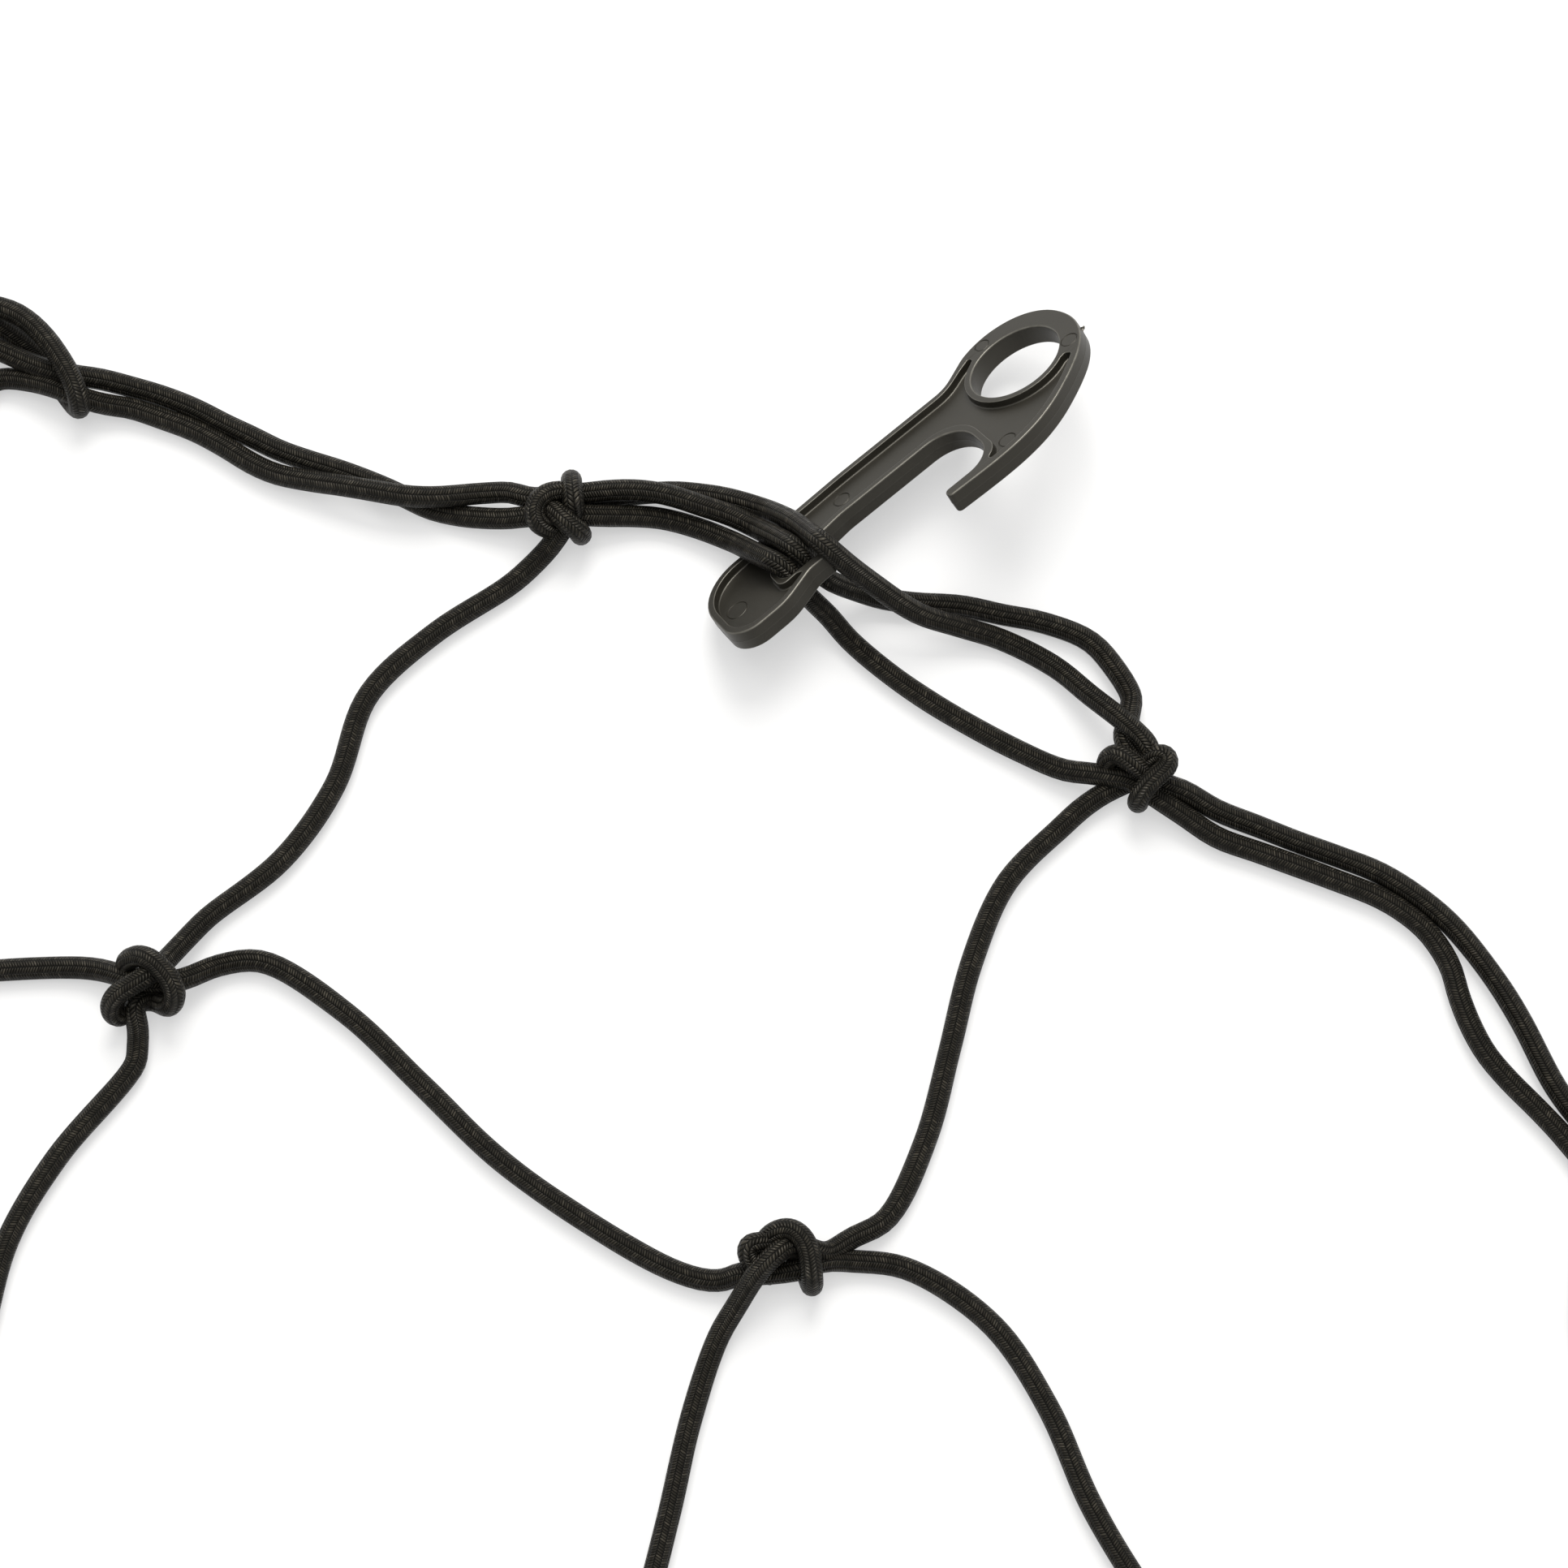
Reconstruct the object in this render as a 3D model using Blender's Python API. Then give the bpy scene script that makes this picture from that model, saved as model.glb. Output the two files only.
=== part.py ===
"""Pickup bed cargo net: elastic shock cord knotted into a square mesh, lying loose, with a moulded plastic hook on each
of twelve border sections. +Z is up, the rows run along X, and the net rests on the plane z = 0."""

import math

import bpy
import bmesh
import numpy as np
from mathutils import Matrix, Vector

MM = 0.001

# ---------------------------------------------------------------------------------------------------------------------
# Named sizes, in millimetres
# ---------------------------------------------------------------------------------------------------------------------
COLUMNS, ROWS = 8, 6          # cells across and down
COLUMN_PITCH = 143.0          # knot to knot across, as the net lies
ROW_PITCH = 138.0             # knot to knot down, as the net lies
CELL_CORD = 150.0             # cord between two neighbouring knots
CORD_RADIUS = 2.5
CORD_SIDES_LEVEL = 1          # bevel resolution 1 makes six sides
FLAT = math.cos(math.radians(30.0))   # height of a flat side over the cord's axis, as a share of its radius
GAP = 0.3                     # clearance between pieces
REST_Z = CORD_RADIUS * FLAT   # axis height of a cord that lies with a flat side on z = 0
FLOAT_Z = REST_Z + GAP        # axis height of a cord that the resting rows carry clear of z = 0
MOST_SWAY = 21.0              # bow of a plain section
PAIR_OFFSET = 3.15            # each border strand from the border's middle line, at a knot
SADDLE_BULGE = 1.45           # a mesh cord's radius over a knot, as a share of its own
ROW_CUTS = (3, 5)             # columns under whose knots a row is divided, so that each piece stays near its chord
COLUMN_CUTS = {3: (3, 4)}      # rows at which a column is in pieces
CENTRE_X, CENTRE_Y = -143.15, -432.5   # middle of the net's own frame, which becomes x = y = 0

HOOK_THICKNESS = 5.33
HOOK_POCKET = 1.9             # depth of the lightening pockets in both faces
HOOK_EYE = {"a": 76.6, "b": -5.6, "radius": 11.2, "rim": 12.9}
HOOK_ALONG = 50.2             # the hook's pad from the knot before it, along the border
HOOK_SHIFT = 5.0              # most that a hook has slid either way along the border
HOOK_OUT = -0.1               # the hook's pad from the border's chord
HOOK_HEIGHT = 13.78           # the pad centre's upper face over z = 0
# The hook leans on the edge of its pad. Its own axes, for a border that runs along +X with the outside at +Y:
HOOK_AXIS = (0.4397, 0.8898, 0.1224)      # from the pad to the eye
HOOK_ACROSS = (0.6139, -0.3973, 0.6821)   # from the shank to the arm

# Knots whose place is set by hand: (column, row): (x, y) in the net's own frame, whose origin is knot (5, 0)
PLACED_KNOTS = {
    (4, 0): (-144.8, -46.2), (5, 0): (0.0, 0.0), (6, 0): (142.0, 16.8), (7, 0): (288.0, -27.0), (8, 0): (419.0, -60.0),
    (4, 1): (-150.0, -193.0), (5, 1): (-17.9, -142.1), (6, 1): (133.2, -117.6), (7, 1): (277.0, -154.0),
    (5, 2): (-8.0, -288.0), (6, 2): (143.0, -262.0),
}

# Sideways sway of single mesh sections, in mm to the left of the run, at sevenths of the chord.
# kind, column, row of the knot it starts from: s1 s2 s3 s4 s5 s6
MESH_SWAYS = {
    ("column", 5, 0): (0.8, -3.0, -5.1, 2.8, 4.8, 0.7),
    ("column", 6, 0): (-6.2, -8.1, -4.0, 3.5, 10.7, 13.9),
    ("column", 5, 1): (6.4, 2.6, 2.4, 8.0, 12.0, 8.0),
    ("column", 6, 1): (-2.3, -0.5, 5.2, 10.0, 12.0, 8.0),
    ("column", 7, 0): (15.0, 28.5, 36.5, 37.5, 30.0, 16.5),
    ("row", 4, 1): (-9.0, -16.0, -18.0, -13.0, -5.0, 1.8),
    ("row", 5, 1): (15.2, 11.7, 3.5, -4.9, -9.9, -12.7),
    ("row", 6, 1): (17.1, 21.8, 18.0, 10.0, 5.0, 2.0),
}

# Border pairs set by hand, each strand's sway and axis height at sevenths of the chord.
# side, section: (strand, sways, heights)
BORDER_SWAYS = {
    ("top", 4): (
        ("outer", (4.6, 6.5, 4.0, -1.5, -3.4, -8.3), (2.5, 2.5, 2.5, 2.5, 2.5, 2.5)),
        ("inner", (-1.4, -0.8, -3.2, -8.3, -6.3, -1.0), (2.5, 2.5, 2.6, 4.4, 8.2, 7.0)),
    ),
    ("top", 6): (
        ("outer", (10.0, 21.7, 29.9, 28.8, 22.7, 13.9), (2.5,) * 6),
        ("inner", (2.3, 15.0, 23.4, 20.0, 12.4, 6.1), (2.5,) * 6),
    ),
}
CROSSING_SECTION = ("top", 4)   # the two strands change places here

# A border section with a hook on it. "chord" rows: mm along the chord, mm outward, axis height.
# "hook" rows: a and b in the hook's own plane, c over its upper face, and the cord's radius as a share.
HOOKED_STRANDS = {
    "outer": (
        ("chord", 10.0, 6.9, 4.8), ("chord", 16.0, 10.3, 7.3), ("chord", 22.5, 13.0, 7.8), ("chord", 29.0, 14.2, 7.2),
        ("chord", 37.0, 14.0, 6.9),
        ("hook", 7.9, -12.6, 3.0, 1.0), ("hook", 9.85, -4.6, 3.1, 1.0), ("hook", 11.3, 0.8, 3.0, 0.94),
        ("hook", 11.7, 2.35, 0.8, 0.84), ("hook", 11.9, 2.4, -2.6, 0.78), ("hook", 12.0, 2.3, -5.6, 0.78),
        ("hook", 13.0, 2.6, -9.6, 0.94),
        ("chord", 69.2, 9.8, 6.2), ("chord", 75.5, 11.6, 3.2), ("chord", 82.0, 13.8, 2.5), ("chord", 92.3, 18.0, 2.5),
        ("chord", 103.8, 20.8, 2.5), ("chord", 116.0, 22.0, 2.5), ("chord", 126.0, 18.0, 2.5),
        ("chord", 133.0, 10.6, 2.5),
    ),
    "inner": (
        ("chord", 10.0, 0.4, 2.5), ("chord", 16.0, 4.0, 2.5), ("chord", 22.5, 7.2, 2.5), ("chord", 29.5, 8.7, 2.8),
        ("chord", 36.5, 8.7, 4.2),
        ("hook", 1.9, -14.4, 3.0, 1.0), ("hook", 4.15, -5.0, 3.1, 1.0), ("hook", 5.75, 0.8, 3.0, 0.94),
        ("hook", 6.7, 2.35, 0.8, 0.84), ("hook", 6.75, 2.4, -2.6, 0.78), ("hook", 6.8, 2.3, -5.6, 0.78),
        ("hook", 7.0, 2.6, -9.6, 0.94),
        ("chord", 66.4, 2.0, 5.4), ("chord", 72.7, -0.4, 2.9), ("chord", 84.4, -3.7, 2.5), ("chord", 95.8, -5.8, 2.5),
        ("chord", 107.0, -7.1, 2.5), ("chord", 116.0, -7.4, 2.5), ("chord", 126.0, -7.0, 2.5),
        ("chord", 133.0, -5.6, 2.5),
    ),
    "turn": (
        ("chord", 16.0, 15.6, 2.5), ("chord", 22.5, 18.0, 2.5), ("chord", 29.5, 20.0, 3.0), ("chord", 37.2, 21.6, 5.0),
        ("hook", 16.2, -13.0, 3.0, 1.0), ("hook", 17.2, -5.0, 3.0, 1.0), ("hook", 17.8, 2.0, 3.0, 1.0),
        ("hook", 18.2, 7.5, 3.1, 1.0),
        ("chord", 67.0, 13.0, 19.4), ("chord", 73.6, 12.4, 15.0), ("chord", 79.5, 11.6, 11.6), ("chord", 85.5, 11.4, 9.0),
        ("chord", 94.3, 12.4, 5.4), ("chord", 103.8, 13.8, 2.7), ("chord", 112.0, 13.8, 2.5),
        ("chord", 122.0, 10.6, 2.5),
    ),
}

# Sections of the border that carry the mesh cord's turn, and of those the ones with a hook.
# side: sections with a turn, sections with a hook
TURNS = {"top": (1, 3, 5, 7), "right": (1, 3, 5), "bottom": (1, 3, 5, 7), "left": (1, 3, 5)}
HOOKS = {"top": (1, 3, 5, 7), "right": (1, 3), "bottom": (1, 3, 5, 7), "left": (1, 3)}

# The hook's outline, in its own plane: corner a, corner b, corner radius
HOOK_OUTLINE = (
    (-13.15, -13.4, 12.9), (-13.15, 12.7, 13.0), (1.5, 12.3, 13.0), (10.4, 8.0, 5.0), (15.6, 7.9, 1.2), (15.6, 5.25, 1.2),
    (4.2, 5.25, 2.85), (4.2, -0.55, 2.85), (17.0, -0.55, 12.0), (24.0, -1.7, 14.0), (57.4, -1.7, 9.0), (57.4, 18.0, 9.0),
    (43.4, 18.0, 1.2), (43.4, 20.6, 1.2), (60.0, 20.6, 60.0), (72.0, 18.8, 26.0), (93.5, 3.0, 16.0),
    (93.5, -22.8, 16.7), (73.5, -22.8, 12.0), (61.5, -15.4, 12.0), (30.0, -15.4, 60.0),
)
# The pockets' outline, which leaves the rims. Corner rows as above; "arc" rows run round the eye's rim from one angle
# to another, in degrees from +a towards +b.
HOOK_POCKET_OUTLINE = (
    (-11.4, -11.8, 11.2), (-11.4, 10.9, 11.2), (1.0, 10.5, 11.0), (9.2, 6.9, 0.5), (7.4, 6.0, 0.8), (2.8, 6.4, 3.0),
    (2.8, -1.9, 3.0), (17.0, -2.2, 12.0), (24.0, -3.3, 14.0), (59.1, -3.3, 9.6), (59.1, 16.0, 7.0), (54.9, 18.9, 0.6),
    (60.0, 18.9, 30.0), (71.6, 17.2, 24.0), (88.2, 4.4, 0.6), ("arc", 44.0, 232.0), (71.4, -19.6, 0.6),
    (61.0, -13.7, 13.0), (30.0, -13.7, 60.0),
)


# ---------------------------------------------------------------------------------------------------------------------
# Where the knots lie
# ---------------------------------------------------------------------------------------------------------------------
def knot(i, j):
    """Knot of column i and row j, in the net's own frame. The whole net lies in one slow wave that dies out downwards."""
    if (i, j) in PLACED_KNOTS:
        return np.array(PLACED_KNOTS[i, j])
    x = COLUMN_PITCH * (i - 5) - 8.0 * math.sin(0.9 * j) + 4.0 * math.sin(1.3 * i + 0.7 * j)
    wave = (50.0 - 6.0 * j) * math.cos(math.tau * (i - 5.85 - 0.25 * j) / 6.5)
    return np.array((x, -34.0 - ROW_PITCH * j + wave))


def border_knots(side):
    """The knots of one side, in clockwise order, so that the outside is on the left of the run."""
    across, down = range(COLUMNS + 1), range(ROWS + 1)
    return {
        "top": [knot(i, 0) for i in across],
        "right": [knot(COLUMNS, j) for j in down],
        "bottom": [knot(i, ROWS) for i in reversed(across)],
        "left": [knot(0, j) for j in reversed(down)],
    }[side]


# ---------------------------------------------------------------------------------------------------------------------
# Paths. A path is an array of rows x, y, z, radius share.
# ---------------------------------------------------------------------------------------------------------------------
def frame_of(start, end):
    """Chord length, unit vector along it and unit vector to its left."""
    length = float(np.linalg.norm(end - start))
    along = (end - start) / length
    return length, along, np.array((-along[1], along[0]))


def scatter(seed):
    """A repeatable number from -1 to 1."""
    return math.sin(2.399963 * seed + 1.7 * math.sin(5.1 * seed))


def sway_length(chord, sways):
    steps = np.array((0.0, *sways, 0.0))
    return float(np.hypot(chord / (len(steps) - 1), np.diff(steps)).sum())


def slant(sways, chord):
    """How much farther apart two swaying strands must be, measured across the chord, to keep their true distance."""
    slopes = np.gradient(np.array((0.0, *sways, 0.0)), chord / 7.0)[1:-1]
    return np.sqrt(1.0 + slopes ** 2)


def common_sways(chord, seed, cord):
    """Sways of a plain section: one bow and one S, mixed by the seed and as big as the length of cord needs."""
    t = np.arange(1, 7) / 7.0
    mix = math.pi * scatter(seed)
    shape = math.cos(mix) * np.sin(math.pi * t) + 0.62 * math.sin(mix) * np.sin(math.tau * t)
    low, high = 0.0, MOST_SWAY
    for _ in range(30):
        middle = 0.5 * (low + high)
        low, high = (middle, high) if sway_length(chord, middle * shape) < cord else (low, middle)
    return low * shape


def chord_points(start, end, sways, heights):
    length, along, left = frame_of(start, end)
    rows = []
    for k, (sway, height) in enumerate(zip(sways, heights), 1):
        place = start + along * (length * k / 7.0) + left * sway
        rows.append((*place, height, 1.0))
    return rows


def smooth(points, steps=8):
    """Centripetal Catmull-Rom curve through the points, with this many steps to each interval."""
    p = np.array(points, float)
    p = np.vstack((2 * p[0] - p[1], p, 2 * p[-1] - p[-2]))
    knots = np.concatenate(((0.0,), np.cumsum(np.sqrt(np.linalg.norm(np.diff(p[:, :3], axis=0), axis=1)))))
    out = []
    for k in range(1, len(p) - 2):
        t0, t1, t2, t3 = knots[k - 1:k + 3]
        for t in np.linspace(t1, t2, steps, endpoint=False):
            a1 = p[k - 1] * (t1 - t) / (t1 - t0) + p[k] * (t - t0) / (t1 - t0)
            a2 = p[k] * (t2 - t) / (t2 - t1) + p[k + 1] * (t - t1) / (t2 - t1)
            a3 = p[k + 1] * (t3 - t) / (t3 - t2) + p[k + 2] * (t - t2) / (t3 - t2)
            b1 = a1 * (t2 - t) / (t2 - t0) + a2 * (t - t0) / (t2 - t0)
            b2 = a2 * (t3 - t) / (t3 - t1) + a3 * (t - t1) / (t3 - t1)
            out.append(b1 * (t2 - t) / (t2 - t1) + b2 * (t - t1) / (t2 - t1))
    out.append(p[-2])
    return np.array(out)


def kept(curve, first, last, within):
    """Indices between first and last whose points keep the curve within this distance of its chords."""
    if last - first < 2:
        return []
    a, b = curve[first], curve[last]
    span = b - a
    share = np.clip((curve[first + 1:last] - a) @ span / max(span @ span, 1e-9), 0.0, 1.0)
    away = np.linalg.norm(curve[first + 1:last] - a - share[:, None] * span, axis=1)
    worst = int(away.argmax())
    if away[worst] <= within:
        return []
    middle = first + 1 + worst
    return kept(curve, first, middle, within) + [middle] + kept(curve, middle, last, within)


def thinned(strands, stations, withins):
    """Strands that run side by side, thinned at the same places. Stations are the curve indices of the section ends, and
    a section with no limit keeps the points that the curve was drawn through."""
    together = np.hstack([s[:, :3] for s in strands]) / math.sqrt(len(strands))
    chosen = [stations[0]]
    for first, last, within in zip(stations, stations[1:], withins):
        between = list(range(first + 8, last, 8)) if within is None else kept(together, first, last, within)
        chosen += between + [last]
    return [s[chosen] for s in strands]


# ---------------------------------------------------------------------------------------------------------------------
# The border
# ---------------------------------------------------------------------------------------------------------------------
PLAIN_WITHIN, RAISED_WITHIN = 2.3, 0.85
SIDES = ("top", "right", "bottom", "left")


def hook_along(side, section):
    """How far along its section a hook's pad lies. Each has slid a little along the cord."""
    seed = SIDES.index(side) + 0.37 * section
    return HOOK_ALONG + (0.0 if (side, section) == ("top", 5) else HOOK_SHIFT * scatter(seed))


def hook_frame(side, section):
    """Origin (pad centre, upper face) and axes a, b, c of the hook on a border section, in the net's own frame."""
    ends = border_knots(side)
    _, along, left = frame_of(ends[section], ends[section + 1])
    turn = Matrix(((along[0], left[0], 0.0), (along[1], left[1], 0.0), (0.0, 0.0, 1.0)))
    axis = (turn @ Vector(HOOK_AXIS)).normalized()
    across = turn @ Vector(HOOK_ACROSS)
    across = (across - axis * across.dot(axis)).normalized()
    normal = across.cross(axis)
    place = ends[section] + along * hook_along(side, section) + left * HOOK_OUT
    return Vector((*place, HOOK_HEIGHT)), axis, across, normal


def hooked_points(side, section, strand):
    ends = border_knots(side)
    start, end = ends[section], ends[section + 1]
    length, along, left = frame_of(start, end)
    origin, axis, across, normal = hook_frame(side, section)
    rows = []
    shift = hook_along(side, section) - HOOK_ALONG
    near, far = 10.0, HOOK_ALONG - 13.2   # the stretch before the pad that takes up the shift
    past = HOOK_ALONG + 12.0              # the stretch from here to the next knot takes up the section's length
    for row in HOOKED_STRANDS[strand]:
        if row[0] == "chord":
            _, s, out, height = row
            if s < HOOK_ALONG:
                s += shift * (s - near) / (far - near)
            else:
                s = past + shift + (s - past) * (length - past - shift) / (COLUMN_PITCH - past)
            place = start + along * s + left * out
            rows.append((*place, height, 1.0))
        else:
            _, a, b, c, share = row
            rows.append((*(origin + axis * a + across * b + normal * c), share))
    return rows


def pair_points(side, section):
    """Rows of the outer and the inner strand between two border knots."""
    ends = border_knots(side)
    start, end = ends[section], ends[section + 1]
    if section in HOOKS[side]:
        return hooked_points(side, section, "outer"), hooked_points(side, section, "inner")
    if (side, section) in BORDER_SWAYS:
        return tuple(chord_points(start, end, sways, heights) for _, sways, heights in BORDER_SWAYS[side, section])
    length, _, _ = frame_of(start, end)
    seed = 10 * SIDES.index(side) + section + 3
    sways = common_sways(length, seed, CELL_CORD)
    t = np.arange(1, 7) / 7.0
    half = (PAIR_OFFSET + (1.6 + 1.4 * scatter(seed + 0.5)) * np.sin(math.pi * t) ** 2) * slant(sways, length)
    return chord_points(start, end, sways + half, (FLOAT_Z,) * 6), chord_points(start, end, sways - half, (FLOAT_Z,) * 6)


def corner_after(side):
    """Direction in which the border goes on past this side's last knot."""
    following = border_knots(SIDES[(SIDES.index(side) + 1) % 4])
    return frame_of(following[0], following[1])[1:]


def border_strands(side):
    """Both strands of one side, from just past its first corner to just past its last one."""
    ends = border_knots(side)
    count = len(ends) - 1
    _, first_along, first_left = frame_of(ends[0], ends[1])
    rows = {"first": [], "second": []}
    stations, withins = [0], []
    swapped = False
    for name, sign in (("first", 1.0), ("second", -1.0)):
        rows[name].append((*(ends[0] + first_along * 11.6 + first_left * sign * 1.15 * PAIR_OFFSET), FLOAT_Z, 1.0))
    for section in range(count):
        outer, inner = pair_points(side, section)
        if section == 0:
            outer, inner = outer[1:], inner[1:]
        names = ("second", "first") if swapped else ("first", "second")
        rows[names[0]] += outer
        rows[names[1]] += inner
        if (side, section) == CROSSING_SECTION:
            swapped = not swapped
            names = names[::-1]
        if section < count - 1:
            _, along_in, _ = frame_of(ends[section], ends[section + 1])
            _, along_out, _ = frame_of(ends[section + 1], ends[section + 2])
            along = (along_in + along_out) / np.linalg.norm(along_in + along_out)
            out = np.array((-along[1], along[0]))
            for name, sign in zip(names, (1.0, -1.0)):
                for step in (-3.6, 0.0, 3.6):
                    rows[name].append((*(ends[section + 1] + along * step + out * sign * PAIR_OFFSET), FLOAT_Z, 1.0))
        else:
            along_out, left_out = corner_after(side)
            _, along_in, left_in = frame_of(ends[section], ends[section + 1])
            corner = (left_in + left_out) * 2.2 / float((left_in + left_out) @ (left_in + left_out))
            for name, sign in zip(names, (1.0, -1.0)):
                rows[name].append((*(ends[-1] + corner * sign * PAIR_OFFSET), FLOAT_Z, 1.0))
                rows[name].append((*(ends[-1] + along_out * 8.4 + left_out * sign * PAIR_OFFSET), FLOAT_Z, 1.0))
        stations.append(8 * (len(rows["first"]) - (1 if section == count - 1 else 2)))
        withins.append(RAISED_WITHIN if section in HOOKS[side] or (side, section) == CROSSING_SECTION else PLAIN_WITHIN)
    return thinned([smooth(rows["first"]), smooth(rows["second"])], stations, withins)


def turn_strand(side, section):
    """The mesh cord's turn: it runs beside the border pair from the knot that it comes up to, to the next one."""
    if section in HOOKS[side]:
        curve = smooth(hooked_points(side, section, "turn"))
        return thinned([curve], [0, len(curve) - 1], [RAISED_WITHIN])[0]
    ends = border_knots(side)
    start, end = ends[section], ends[section + 1]
    outer, _ = pair_points(side, section)
    length, along, left = frame_of(start, end)
    sways = np.array([(np.array(row[:2]) - start) @ left for row in outer])
    off = (2 * CORD_RADIUS + 1.6 + 3.0 * np.sin(math.pi * np.arange(1, 7) / 7.0)) * slant(sways, length)
    curve = smooth(chord_points(start, end, sways + off, (FLOAT_Z,) * 6))
    return thinned([curve], [0, len(curve) - 1], [RAISED_WITHIN])[0]


# ---------------------------------------------------------------------------------------------------------------------
# The mesh
# ---------------------------------------------------------------------------------------------------------------------
def saddle(place, along, base, position):
    """Rows of a mesh cord that climbs over the cords which pass through a knot. At the border its end stays up there."""
    foot, side = (-11.6, base, 1.0), (-6.6, 7.7, 1.12)
    top = (0.0, 10.2, SADDLE_BULGE)
    far_side, far_foot = (-side[0], *side[1:]), (-foot[0], *foot[1:])
    rows = {"inside": (foot, top, far_foot), "start": (side, top, far_side, far_foot), "end": (foot, side, top, far_side)}[position]
    return [(*(place + along * s), h, r) for s, h, r in rows]


def mesh_line(kind, index):
    """Knots of one column from the top down, or of one row from left to right."""
    if kind == "column":
        return [knot(index, j) for j in range(ROWS + 1)]
    return [knot(i, index) for i in range(COLUMNS + 1)]


def section_sways(kind, index, section, start, end):
    key = (kind, index, section) if kind == "column" else (kind, section, index)
    if key in MESH_SWAYS:
        return np.array(MESH_SWAYS[key])
    length, _, _ = frame_of(start, end)
    seed = 0.4 + 7.3 * index + 3.1 * section + (0.0 if kind == "column" else 40.0)
    return common_sways(length, seed, CELL_CORD)


def knot_direction(kind, index, k, ends):
    """The way a mesh cord runs through its k-th knot: square to the border at its ends, between its chords elsewhere."""
    if 0 < k < len(ends) - 1:
        way = frame_of(ends[k - 1], ends[k])[1] + frame_of(ends[k], ends[k + 1])[1]
    else:
        side = {("column", True): "top", ("column", False): "bottom", ("row", True): "left", ("row", False): "right"}[kind, k == 0]
        line = border_knots(side)
        place = index if side in ("top", "right") else len(line) - 1 - index
        way = frame_of(line[place - 1], line[place + 1])[2]
        way = -way if k == 0 else way
    return way / np.linalg.norm(way)


def mesh_cord(kind, index):
    """One mesh cord. Columns climb over the rows; both climb over the border pair at their two ends."""
    ends = mesh_line(kind, index)
    base = FLOAT_Z if kind == "column" else REST_Z
    count = len(ends) - 1
    sections = []
    for section in range(count):
        sways = section_sways(kind, index, section, ends[section], ends[section + 1])
        sections.append(chord_points(ends[section], ends[section + 1], sways, (base,) * 6))
    rows, stations = [], []
    for k, place in enumerate(ends):
        along = knot_direction(kind, index, k, ends)
        border = k in (0, count)
        if border or kind == "column":
            stations.append(8 * len(rows))
            rows += saddle(place, along, base, "start" if k == 0 else "end" if k == count else "inside")
            stations.append(8 * (len(rows) - 1))
        else:
            rows.append((*place, base, 1.0))
            stations.append(8 * (len(rows) - 1))
        if k < count:
            rows += sections[k]
    curve = smooth(rows)
    stations = sorted(set(stations))
    spans = [None if curve[(a + b) // 2][2] > base + 1.0 else PLAIN_WITHIN for a, b in zip(stations, stations[1:])]
    return thinned([curve], stations, spans)[0]


def divided(path, places):
    """The path in pieces that end at the points nearest to these places, a gap apart even where the path turns."""
    pieces, rest = [], path
    for place in places:
        at = int(np.linalg.norm(rest[:, :2] - place, axis=1).argmin())
        before, after = rest[at - 1, :3] - rest[at, :3], rest[at + 1, :3] - rest[at, :3]
        before, after = before / np.linalg.norm(before), after / np.linalg.norm(after)
        bend = math.pi - math.acos(max(-1.0, min(1.0, float(before @ after))))
        back = 0.5 * GAP + CORD_RADIUS * float(rest[at, 3]) * math.tan(0.5 * bend)
        first, rest = rest[:at + 1].copy(), rest[at:].copy()
        first[-1, :3] += before * back
        rest[0, :3] += after * back
        pieces.append(first)
    return pieces + [rest]


# ---------------------------------------------------------------------------------------------------------------------
# Making the objects
# ---------------------------------------------------------------------------------------------------------------------
def clear_scene():
    for obj in list(bpy.data.objects):
        bpy.data.objects.remove(obj, do_unlink=True)
    for data in (bpy.data.meshes, bpy.data.curves, bpy.data.materials):
        for item in list(data):
            data.remove(item)


def new_collection(name):
    made = bpy.data.collections.new(name)
    bpy.context.scene.collection.children.link(made)
    return made


def new_material(name, colour, roughness):
    material = bpy.data.materials.new(name)
    material.use_nodes = True
    shader = material.node_tree.nodes["Principled BSDF"]
    shader.inputs["Base Color"].default_value = (*colour, 1.0)
    shader.inputs["Roughness"].default_value = roughness
    shader.inputs["Metallic"].default_value = 0.0
    return material


def cord_object(name, path, parent, collection, material):
    """A cord as a bevelled curve whose origin is its first point."""
    points = path.copy()
    points[:, :3] *= MM
    origin = points[0, :3].copy()
    curve = bpy.data.curves.new(name, "CURVE")
    curve.dimensions = "3D"
    curve.twist_mode = "Z_UP"
    curve.bevel_depth = CORD_RADIUS * MM
    curve.bevel_resolution = CORD_SIDES_LEVEL
    curve.use_fill_caps = True
    spline = curve.splines.new("POLY")
    spline.points.add(len(points) - 1)
    for point, row in zip(spline.points, points):
        point.co = (*(row[:3] - origin), 1.0)
        point.radius = row[3]
    curve.materials.append(material)
    obj = bpy.data.objects.new(name, curve)
    obj.location = origin
    obj.parent = parent
    collection.objects.link(obj)
    return obj


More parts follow.
